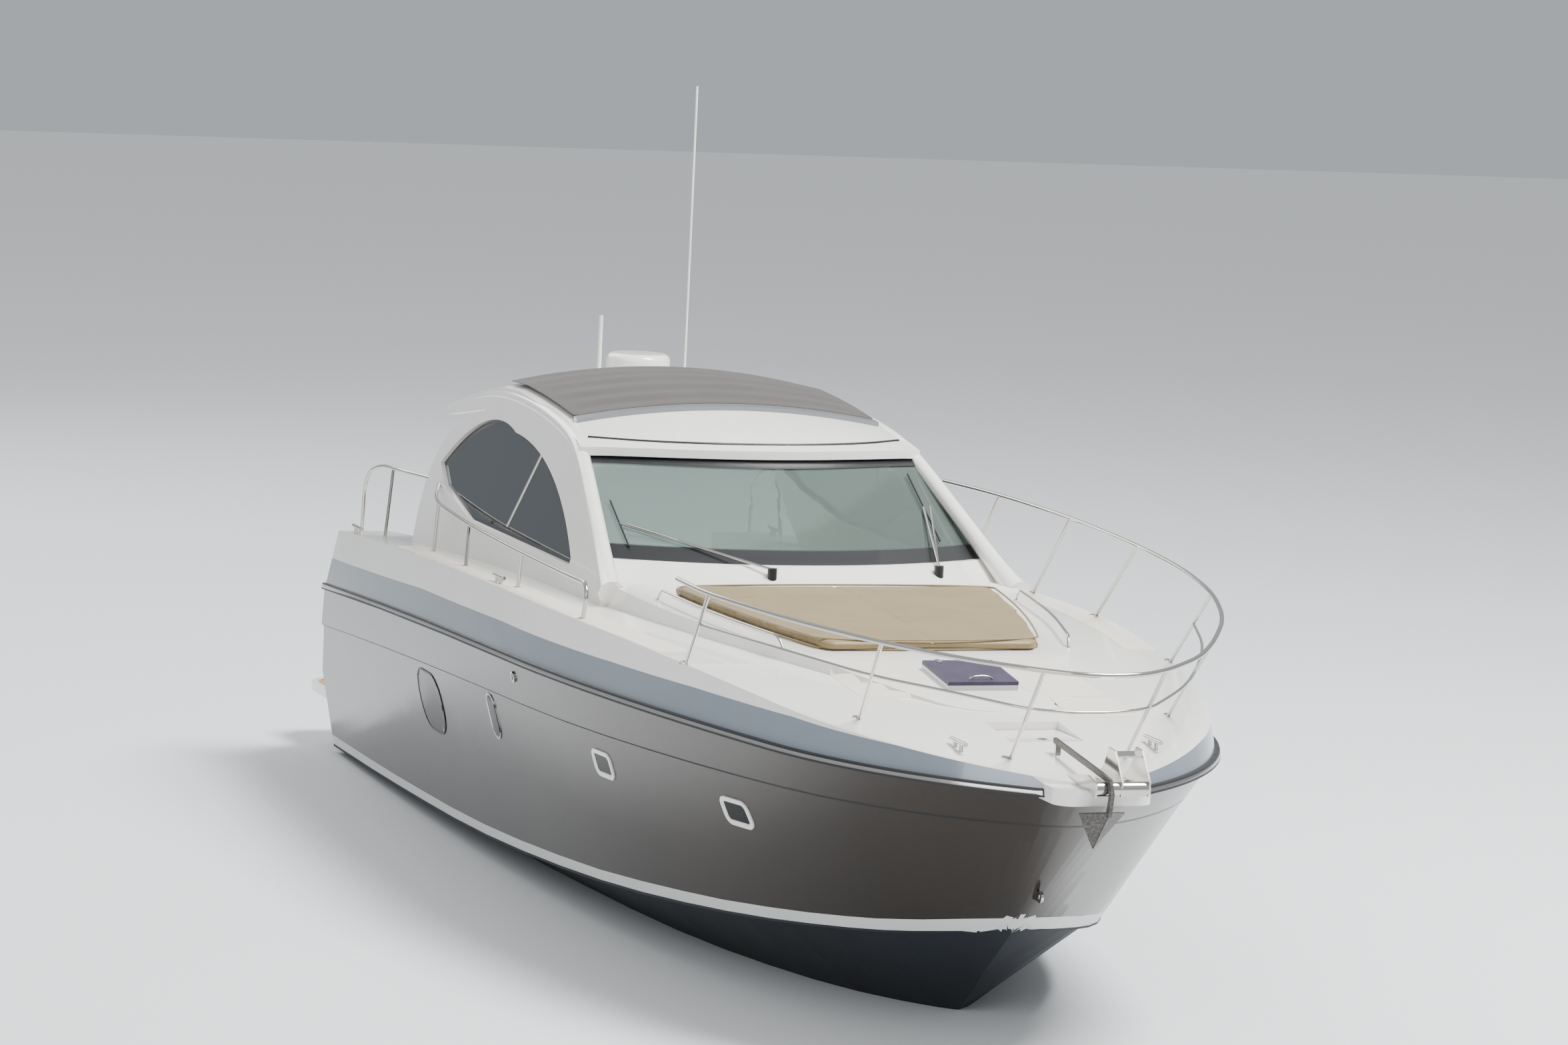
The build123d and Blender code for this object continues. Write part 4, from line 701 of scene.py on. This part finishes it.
# Wipers. Pantograph wipers with bright steel arms on black bosses: two parallel arms and a sprung rubber blade.
BLADE_OUT = (-1.05, 0.97)
BOSS_TOP = 2.27
SECOND_ARMS = (("starboard", (0.68, -0.35, 2.243), (0.19, -1.09, 2.45)),
               ("port", (0.60, 0.89, 2.243), (0.005, 1.045, 2.55)))
ARM_R = 0.007


def wiper_part_of(face):
    """0 steel arm, 1 black boss or blade."""
    at = face.calc_center_median()
    return int(at.z < BOSS_TOP or at.y < BLADE_OUT[0] or at.y > BLADE_OUT[1])


dress("wipers", "black_trim", stainless, trim_black, choose=wiper_part_of)
for name, foot, head in SECOND_ARMS:
    bar("wiper_second_arm_" + name, [foot, head], ARM_R, stainless, order=2)

# Roof canvas. Brown-grey acrylic cloth, sewn from three lengths, with a hem all round. It is stretched over the
# open part of the roof, on battens sewn in across it, and laced to an aluminium bow at its front edge.
CANVAS_X = (-2.64, -1.13)
CANVAS_HALF = 1.06
CANVAS_CELL = 0.03
CANVAS_OVER = 0.003
BATTEN_STEP = 0.3
BATTEN_SAG = 0.009
HEM_WIDE = 0.045
HEM_THICK = 0.003
CLOTH_THICK = 0.004
THREAD = 0.004

# Woven acrylic: matt, with a plain weave. Real threads are 0.5 mm; they are drawn at 4 mm, so that they show.
canvas, tree, shader = new_material("acrylic_canvas_woven", Roughness=0.9, Sheen_Weight=0.25)
where = add(tree, "ShaderNodeTexCoord")
lengthways, crossways = [add(tree, "ShaderNodeTexWave", {"Vector": where.outputs["Object"], "Scale": 0.32 / THREAD},
                             bands_direction=axis) for axis in "XY"]
weave = add(tree, "ShaderNodeMath", {0: lengthways.outputs["Fac"], 1: crossways.outputs["Fac"]}, operation="MAXIMUM")
bump = add(tree, "ShaderNodeBump", {"Height": weave.outputs[0], "Strength": 0.5, "Distance": 0.001})
tree.links.new(bump.outputs["Normal"], shader.inputs["Normal"])
two_tone(tree, shader, 3, 4, "#2D2927", "#423C38")

# Anodised aluminium: satin, with fine lengthways lines from its drawing.
alloy, tree, shader = new_material("aluminium_anodised", Base_Color=paint("#B4B7BA"), Metallic=1)
where = add(tree, "ShaderNodeTexCoord")
drawn = add(tree, "ShaderNodeMapping", {"Vector": where.outputs["Object"], "Scale": (40, 4, 40)})
lines = add(tree, "ShaderNodeTexNoise", {"Vector": drawn.outputs["Vector"], "Scale": 12, "Detail": 3})
dull = add(tree, "ShaderNodeMapRange", {"Value": lines.outputs["Fac"], "To Min": 0.25, "To Max": 0.42})
tree.links.new(dull.outputs["Result"], shader.inputs["Roughness"])

canvas_skin = probe("roof_canvas")
sheet = rounded_sheet(CANVAS_X[1] - CANVAS_X[0], 2 * CANVAS_HALF, 0.04)
cut_fine(sheet, CANVAS_CELL)
middle = sum(CANVAS_X) / 2
for vert in sheet.verts:
    u, v, _ = vert.co
    inside = min(u - CANVAS_X[0] + middle, CANVAS_X[1] - middle - u, CANVAS_HALF - abs(v))
    sag = BATTEN_SAG * math.sin(math.pi * (u + middle - CANVAS_X[0]) / BATTEN_STEP) ** 2 * min(inside / 0.2, 1)
    hem = HEM_THICK if inside < HEM_WIDE else 0
    spot, _ = touch(canvas_skin, (middle + u * 0.998, v * 0.996, 3.3), (0, 0, -1))
    vert.co = spot + Vector((0, 0, CANVAS_OVER + hem - sag))
bmesh.ops.solidify(sheet, geom=sheet.faces[:], thickness=CLOTH_THICK)
roof_cloth = finish_piece("roof_cloth", sheet, [canvas], sharp=60)
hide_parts("roof_canvas")
dress("canvas_bow", "aluminium_frame", alloy)

# Sun pad. Closed-cell foam 70 mm thick in tan vinyl, snapped down on the coachroof. A welt is sewn round its
# top and bottom edges, and sewn channels part it into two places to lie and a head end.
PAD_X = (1.05, 2.86)
PAD_HALF = (1.07, 0.68)
PAD_BULGE = 0.055
PAD_THICK = 0.058
PAD_FLOOR = [(0.75, 2.13), (2.95, 2.02)]
PAD_LIFT = 0.003
PAD_CAP = 0.02
PAD_CELL = 0.022
PAD_SEAMS = ((1, 0), (0, 1.55), (0, 2.2))
CHANNEL_HALF = 0.028
CHANNEL_DEEP = 0.011
PUFF = 4
PUFF_STEPS = 20
WELT_R = 0.006
WELT_IN = 0.004
WELTS = (("top", PAD_THICK + 0.004), ("bottom", 0.006))

# Marine vinyl: soft satin over a fine leather grain, 3 mm across, with a little unevenness in its colour.
GRAIN = 0.003


def vinyl(name, dark, light):
    """Vinyl whose colour wanders between a dark and a light tone."""
    material, tree, shader = new_material(name, Roughness=0.5, Sheen_Weight=0.15)
    grained(tree, shader, GRAIN, 0.3, 0.0006)
    two_tone(tree, shader, 4, 4, dark, light)
    return material


tan_vinyl = vinyl("vinyl_marine_tan", "#75643F", "#8A7850")


def stuffed(name, work, cell, cap, material, body, channels=()):
    """Pad blown up from a slab by cloth simulation; channels are (axis, place) lines sewn down across it."""
    pad = bpy.data.objects.new(name, bpy.data.meshes.new(name))
    bpy.context.collection.objects.link(pad)
    work.to_mesh(pad.data)
    work.free()
    remesh = pad.modifiers.new("remesh", "REMESH")
    remesh.mode = "VOXEL"
    remesh.voxel_size = cell
    flat = applied(pad)
    pad.modifiers.clear()
    pad.data = flat
    start = [vert.co.copy() for vert in flat.vertices]
    blown = pad.modifiers.new("blown", "CLOTH")
    blown.settings.use_pressure = True
    blown.settings.uniform_pressure_force = PUFF
    blown.settings.quality = 4
    blown.settings.effector_weights.gravity = 0
    for step in range(1, PUFF_STEPS + 1):
        bpy.context.scene.frame_set(step)
    pad.data = applied(pad)
    pad.modifiers.clear()
    bpy.context.scene.frame_set(1)
    for vert, first in zip(pad.data.vertices, start):
        move = vert.co - first
        vert.co = first + move.normalized() * min(move.length, cap)
    rounded = pad.modifiers.new("rounded", "SUBSURF")
    rounded.levels = rounded.render_levels = 1
    pad.data = applied(pad)
    pad.modifiers.clear()
    for vert in pad.data.vertices:
        for axis, place, low in channels:
            near = max(1 - abs(vert.co[axis] - place) / CHANNEL_HALF, 0)
            if vert.co.z > low(vert.co):
                vert.co.z -= CHANNEL_DEEP * near * near
    for face in pad.data.polygons:
        face.use_smooth = True
    pad.data.materials.append(material)
    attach(pad, body)
    return pad


def pad_half(x):
    """Half the pad's width: it narrows forward, with bowed sides."""
    along = (x - PAD_X[0]) / (PAD_X[1] - PAD_X[0])
    return PAD_HALF[0] + (PAD_HALF[1] - PAD_HALF[0]) * along + PAD_BULGE * (1 - (2 * along - 1) ** 2)


def pad_floor(x):
    """Height of the pad's underside, just clear of the coachroof."""
    (xa, za), (xb, zb) = PAD_FLOOR
    return za + (zb - za) * (x - xa) / (xb - xa) + PAD_LIFT


def over_pad_middle(at):
    """Height over which a seam is sewn down."""
    return pad_floor(at.x) + 0.03


def on_coachroof(vert):
    """Moves a point of a sheet 1 by 1 to its place on the coachroof."""
    x = PAD_X[0] + (vert.co.x + 0.5) * (PAD_X[1] - PAD_X[0])
    vert.co = (x, vert.co.y * 2 * pad_half(x), pad_floor(x) + vert.co.z)


sheet = rounded_sheet(1, 1, 0.03)
cut_fine(sheet, 0.08)
thicken(sheet, 0, PAD_THICK)
for vert in sheet.verts:
    on_coachroof(vert)
bmesh.ops.recalc_face_normals(sheet, faces=sheet.faces)
pad = stuffed("sun_pad", sheet, PAD_CELL, PAD_CAP, tan_vinyl, "boat",
              [(axis, place, over_pad_middle) for axis, place in PAD_SEAMS])
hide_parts("sunpad")
steps = [PAD_X[0] + 0.02 + (PAD_X[1] - PAD_X[0] - 0.04) * k / 8 for k in range(9)]
for name, high in WELTS:
    line = [(x, side * (pad_half(x) - WELT_IN), pad_floor(x) + high)
            for side, row in ((1, steps), (-1, steps[::-1])) for x in row]
    bar("sun_pad_welt_" + name, line, WELT_R, tan_vinyl, closed=True)

# Foredeck hatch. Smoked acrylic lid with a violet cast, in an aluminium frame, on two hinges, with one dog.
smoked, tree, shader = new_material("acrylic_smoked", Roughness=0.35, Specular_IOR_Level=0.15)
two_tone(tree, shader, 6, 3, "#35303F", "#4A4456")
dress("foredeck_hatch_rim", "aluminium_frame", alloy)
dress("foredeck_hatch_lid", "tinted_glass", smoked)
dress("anchor_locker_lid", "white_gelcoat", gelcoat_white)

# Hatch and locker fittings. Two cast hinges and a steel pull on the foredeck hatch, and a flush lifting ring in
# the anchor locker's lid. They are screwed down and swing with their lids.
HINGE = (0.06, 0.03, 0.008)
HINGE_HIGH = 0.008
HATCH_HINGES = (3.27, 0.13)
HATCH_PULL = (3.63, 0.07)
PULL_FOOT = 0.001
PULL_HIGH = 0.022
PULL_R = 0.006
RING_AT = (4.6, 0)
RING_R = 0.03

hatch_skin = probe("foredeck_hatch_lid")
locker_skin = probe("anchor_locker_lid")
for side, name in SIDES:
    sheet = rounded_sheet(*HINGE)
    top = thicken(sheet, 0.0005, HINGE_HIGH)
    bmesh.ops.bevel(sheet, geom=[edge for face in top for edge in face.edges], offset=0.002, segments=2, profile=0.5,
                    affect="EDGES", material=-1)
    lay(sheet, on_deck(HATCH_HINGES[0], side * HATCH_HINGES[1], hatch_skin))
    finish_piece("hatch_hinge_" + name, sheet, [alloy], body_of("foredeck_hatch_lid"))
rise = on_deck(HATCH_PULL[0], 0, hatch_skin)
line = [rise(0, side * HATCH_PULL[1], high) for side, high in
        ((-1, PULL_FOOT), (-1, PULL_HIGH), (1, PULL_HIGH), (1, PULL_FOOT))]
bar("hatch_pull", line, PULL_R, stainless, body_of("foredeck_hatch_lid"))
sheet = bmesh.new()
bmesh.ops.create_circle(sheet, cap_ends=True, segments=32, radius=RING_R)
top = thicken(sheet, 0.0003, 0.003)
set_in(sheet, top, 0.008, 0, 0)
set_in(sheet, top, 0.001, -0.002, 1)
lay(sheet, on_deck(*RING_AT, locker_skin))
finish_piece("locker_ring", sheet, [stainless, trim_black], body_of("anchor_locker_lid"))

# Stainless deck gear, polished: windlass, bow roller, rails, grab rails, cleats and eyes. Every post of the
# guard rail and of the side rail stands in a round base plate, bedded on the deck.
POST_FEET = [(2.8, 1.545), (4.15, 0.96), (4.96, 0.37)]
PORT_FEET = [(-1.1, 1.74), (0.05, 1.765), (1.17, 1.738), (-2.0, 1.69)]
SIDE_FEET = [(-2.61, 1.565), (-1.49, 1.655), (-0.19, 1.682), (1.3, 1.712)]
PLATE_R = 0.022
PLATE_HIGH = 0.006

for node in ("windlass", "bow_roller", "guard_rail", "stern_rails", "grab_rails", "cleats", "bow_eye", "stern_eyes",
             "swim_ladder"):
    dress(node, "rail_steel", stainless)
feet = [(x, side * y) for x, y in POST_FEET for side in (1, -1)] + PORT_FEET + [(x, -y) for x, y in SIDE_FEET]
for k, (x, y) in enumerate(feet):
    sheet = bmesh.new()
    bmesh.ops.create_circle(sheet, cap_ends=True, segments=24, radius=PLATE_R)
    top = thicken(sheet, -0.002, PLATE_HIGH)
    set_in(sheet, top, 0.006, 0.002, 0)
    lay(sheet, on_deck(x, y))
    finish_piece("post_base_%d" % (k + 1), sheet, [stainless])

# Anchor. A forged plough, hot-dip galvanised, which leaves a dull, mottled zinc skin.
galvanised, tree, shader = new_material("zinc_galvanised", Metallic=0.8, Roughness=0.45)
where = add(tree, "ShaderNodeTexCoord")
spangle = add(tree, "ShaderNodeTexVoronoi", {"Vector": where.outputs["Object"], "Scale": 60})
tone = add(tree, "ShaderNodeMixRGB", {"Fac": spangle.outputs["Distance"], "Color1": paint("#3E3C3A"),
                                      "Color2": paint("#6A6764")})
tree.links.new(tone.outputs["Color"], shader.inputs["Base Color"])
dress("anchor", "anchor_iron", galvanised)

# Radar and aerials. The radar's dome is a glossy plastic moulding, parted by a seam above its grey base. Both
# aerials are white glass-fibre rods in screwed sockets.
RADAR_SEAM = 3.12

dome_grey, tree, shader = new_material("radome_base_grey", Base_Color=paint("#8E9296"), Roughness=0.4)


def cut_radome(work):
    """Cuts the radar along the seam over its base."""
    bmesh.ops.bisect_plane(work, geom=work.verts[:] + work.edges[:] + work.faces[:],
                           plane_co=(0, 0, RADAR_SEAM), plane_no=(0, 0, 1), dist=SAME_POINT)


dress("radar", "white_gelcoat", gelcoat_white, dome_grey, shape=cut_radome,
      choose=lambda face: int(face.calc_center_median().z < RADAR_SEAM))
dress("aerials", "white_gelcoat", gelcoat_white)

# Helm. White console with a black sheet of instruments on its sloping face: two round gauges over the wheel,
# a chart screen inboard, rocker switches outboard, and a twin-lever throttle. The wheel's rim is leather.
FACE_LOW = Vector((-0.34, -0.71, 1.45))
FACE_UP = Vector((0.4213, 0, 0.9069))
FACE_OUT = Vector((-0.9069, 0, 0.4213))
PANEL = (0.5, 0.88, 0.03)
PANEL_UP = 0.275
GAUGES = [(0.455, -0.1), (0.455, 0.1)]
GAUGE_R = 0.042
HAND = (0.05, 0.003, 0.001)
ON_PANEL = 0.0063
SCREEN = (0.2, 0.19, 0.012)
SCREEN_AT = (0.3, 0.33)
SWITCHES = [(0.36 - 0.035 * k, -0.29) for k in range(6)]
SWITCH = (0.022, 0.05, 0.006)
THROTTLE_AT = (0.12, -0.36)
THROTTLE = (0.14, 0.09, 0.02)
LEVER_ASIDE = 0.025
LEVER_RADII = [0.006, 0.007, 0.013]
HUB = Vector((-0.225, -0.7, 1.6975))
RIM_INNER_R = 0.17

screen_glass, tree, shader = new_material("screen_glass", Roughness=0.05)
two_tone(tree, shader, 14, 3, "#0B1A26", "#1D3A4C")
dial_white, tree, shader = new_material("dial_enamel_white", Base_Color=paint("#E8E8E2"), Roughness=0.35)

# Leather: hand-stitched, with close pores about 2 mm apart.
PORES = 0.002
leather, tree, shader = new_material("leather_black", Base_Color=paint("#191817"), Roughness=0.5)
grained(tree, shader, PORES, 0.4, 0.0005)


def on_dash(up, across):
    """Rule that lays a flat piece on the console's face: u up the slope, v to port, w out."""
    def place(u, v, w):
        return FACE_LOW + FACE_UP * (up + u) + Vector((0, across + v, 0)) + FACE_OUT * w
    return place


def dash_piece(name, sheet, low, high, at, rim, *materials, slot="black_trim"):
    """Thin piece on the dash, with its face set in from a rim."""
    top = thicken(sheet, low, high)
    if rim:
        set_in(sheet, top, rim, 0, 0)
        set_in(sheet, top, 0.001, -0.001, 1)
    lay(sheet, on_dash(*at))
    return finish_piece(name, sheet, materials)


def wheel_part_of(face):
    """0 leather rim, 1 steel spokes and hub."""
    at = face.calc_center_median() - HUB
    return int((at - FACE_OUT * at.dot(FACE_OUT)).length < RIM_INNER_R)


dress("helm_console", "white_gelcoat", gelcoat_white)
dress("steering_wheel", "black_trim", leather, stainless, choose=wheel_part_of)
dash_piece("dash_panel", rounded_sheet(*PANEL), 0.0003, 0.006, (PANEL_UP, 0), 0, trim_black)
for k, at in enumerate(GAUGES):
    ring = bmesh.new()
    bmesh.ops.create_circle(ring, cap_ends=True, segments=32, radius=GAUGE_R)
    dash_piece("gauge_%d" % (k + 1), ring, ON_PANEL, 0.018, at, 0.006, stainless, dial_white)
    hand = rounded_sheet(*HAND)
    dash_piece("gauge_hand_%d" % (k + 1), hand, 0.0175, 0.0185, (at[0] + 0.005, at[1]), 0, trim_black)
dash_piece("chart_screen", rounded_sheet(*SCREEN), ON_PANEL, 0.02, SCREEN_AT, 0.012, trim_black, screen_glass)
for k, at in enumerate(SWITCHES):
    dash_piece("rocker_%d" % (k + 1), rounded_sheet(*SWITCH), ON_PANEL, 0.013, at, 0.004, stainless, trim_black)
dash_piece("throttle_base", rounded_sheet(*THROTTLE), ON_PANEL, 0.03, THROTTLE_AT, 0.006, stainless, trim_black)
for k, off in enumerate((-LEVER_ASIDE, LEVER_ASIDE)):
    reach = on_dash(THROTTLE_AT[0], THROTTLE_AT[1] + off)
    bar("throttle_lever_%d" % (k + 1), [reach(-0.02, 0, 0.028), reach(0, 0, 0.07), reach(0.035, 0, 0.12)],
        LEVER_RADII[1], stainless, radii=LEVER_RADII)

# Cabin door. Smoked acrylic that slides on two aluminium runners, with an upright pull near its free edge.
DOOR_FACE = 0.0138
PULL_X = -0.018
PULL_Y = 0.6
PULL_LOW, PULL_TOP = 1.42, 1.62
DOOR_PULL_R = 0.0055

dress("companionway_door", "tinted_glass", smoked)
dress("door_runners", "aluminium_frame", alloy)
line = [(x, PULL_Y, z) for x, z in
        ((DOOR_FACE, PULL_LOW), (PULL_X, PULL_LOW), (PULL_X, PULL_TOP), (DOOR_FACE, PULL_TOP))]
bar("door_pull", line, DOOR_PULL_R, stainless, body_of("companionway_door"))

# Cockpit furniture. Gelcoated mouldings with rounded doors hung on the bar, a teak table on a steel post, and
# teak on the engine hatch and on the bathing platform.
BAR_DOORS = [(-1.43, 1.42), (-1.02, 1.42)]
BAR_DOOR = (0.37, 0.66, 0.03)
BAR_FACE = 0.69
BAR_DOOR_THICK = 0.012
BAR_PULL_UP = 0.25
BAR_PULL_HALF = 0.06
BAR_PULL_OUT = 0.035
BAR_PULL_R = 0.005
TABLE_UNDERSIDE = 1.69
PLATFORM_BORDER = 0.05


def on_bar(x, z):
    """Rule that lays a door on the bar's inboard face: u forward, v up, w out."""
    def place(u, v, w):
        return Vector((x + u, BAR_FACE - w, z + v))
    return place


for node in ("helm_seat_base", "sofa_base", "wet_bar", "transom_gate"):
    dress(node, "white_gelcoat", gelcoat_white)
for k, at in enumerate(BAR_DOORS):
    sheet = rounded_sheet(*BAR_DOOR)
    top = thicken(sheet, 0.0003, BAR_DOOR_THICK)
    bmesh.ops.bevel(sheet, geom=[edge for face in top for edge in face.edges], offset=0.005, segments=3, profile=0.5,
                    affect="EDGES", material=-1)
    lay(sheet, on_bar(*at))
    finish_piece("bar_door_%d" % (k + 1), sheet, [gelcoat_white])
    grip = on_bar(at[0], at[1] + BAR_PULL_UP)
    line = [grip(side * BAR_PULL_HALF, 0, out) for side, out in
            ((-1, BAR_DOOR_THICK), (-1, BAR_PULL_OUT), (1, BAR_PULL_OUT), (1, BAR_DOOR_THICK))]
    bar("bar_pull_%d" % (k + 1), line, BAR_PULL_R, stainless)
dress("cockpit_table", "teak", teak, stainless,
      choose=lambda face: int(face.calc_center_median().z < TABLE_UNDERSIDE))
dress("engine_hatch", "teak", teak)


def border_platform(work):
    """White border round the teak on the platform's top."""
    bmesh.ops.dissolve_limit(work, angle_limit=math.radians(1), verts=work.verts, edges=work.edges)
    top = [face for face in work.faces if face.normal.z > 0.99 and face.calc_area() > 0.5]
    bmesh.ops.inset_region(work, faces=top, thickness=PLATFORM_BORDER, use_even_offset=True)
    for face in top:
        face.material_index = 1


dress("bathing_platform", "white_gelcoat", gelcoat_white, teak, shape=border_platform,
      choose=lambda face: face.material_index)

# Cockpit cushions. Foam in cream vinyl, each sewn up as a box with a crowned top: four on the sofa, two on the
# helm seat, and a pad in three parts over the aft deck. They sit on their bases with a hair of room between.
CREAM_CAP = 0.016
SOFA_PADS = [("sofa_seat_aft", (-3.95, 0.295), (0.53, 1.88), 1.292, 0.1),
             ("sofa_seat_side", (-2.715, 0.966), (1.89, 0.53), 1.292, 0.1)]
SOFA_BACKS = [("sofa_back_aft", (-4.172, 0.295), (0.1, 1.87), 1.41, 0.3),
              ("sofa_back_side", (-2.93, 1.187), (2.32, 0.095), 1.41, 0.3)]
AFT_PAD = ("aft_pad", (-4.59, 0.28), (0.57, 1.85), 1.444, 0.08)
SEAT_PAD = ("helm_seat_pad", (-1.04, -0.72), (0.55, 0.87), 1.484, 0.11)
BACK_PAD = ("helm_back_pad", (-1.285, -0.72), (0.09, 0.87), 1.6, 0.465)
BACK_LEAN = -0.1667
SOFA_CELL = 0.02
HELM_CELL = 0.015
SOFA_SEAMS = ((1, 0.295), (0, -2.715))
AFT_SEAMS = ((1, -0.34), (1, 0.9))

cream_vinyl = vinyl("vinyl_marine_cream", "#CFC6B2", "#E2DAC8")


def cushion(name, at, size, low, high, cell, channels=(), lean=0):
    """Box cushion of a plan size at a place; it leans by a share of its height."""
    sheet = rounded_sheet(*size, min(size) * 0.2)
    cut_fine(sheet, 0.12)
    thicken(sheet, 0, high)
    for vert in sheet.verts:
        vert.co.x += lean * vert.co.z
    bmesh.ops.translate(sheet, vec=(*at, low), verts=sheet.verts)
    bmesh.ops.recalc_face_normals(sheet, faces=sheet.faces)
    return stuffed(name, sheet, cell, CREAM_CAP, cream_vinyl, "boat", channels)


sofa = [cushion(*row, SOFA_CELL, [(*seam, lambda at: 1.34)]) for row, seam in zip(SOFA_PADS, SOFA_SEAMS)]
sofa += [cushion(*row, SOFA_CELL) for row in SOFA_BACKS]
for piece in sofa:
    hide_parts("sofa_cushions")
pad = cushion(*AFT_PAD, SOFA_CELL, [(*seam, lambda at: 1.48) for seam in AFT_SEAMS])
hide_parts("aft_sunpad")
seats = [cushion(*SEAT_PAD, HELM_CELL), cushion(*BACK_PAD, HELM_CELL, lean=BACK_LEAN)]
for piece in seats:
    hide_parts("helm_seat_cushion")

# Running gear. Cast bronze propellers, rudders and shaft brackets, with steel shafts and trim tabs, all bolted
# through the bottom. The engine blocks are painted iron.
bronze, tree, shader = new_material("bronze_cast", Base_Color=paint("#A9763A"), Metallic=1, Roughness=0.35)
iron, tree, shader = new_material("cast_iron_painted", Base_Color=paint("#3E4247"), Roughness=0.6)
for side in ("port", "starboard"):
    dress("propeller_" + side, "bronze", bronze)
    dress("shaft_" + side, "rail_steel", stainless)
    dress("rudder_" + side, "bronze", bronze)
    dress("trim_tab_" + side, "rail_steel", stainless)
dress("shaft_brackets", "bronze", bronze)
dress("engines", "iron", iron)
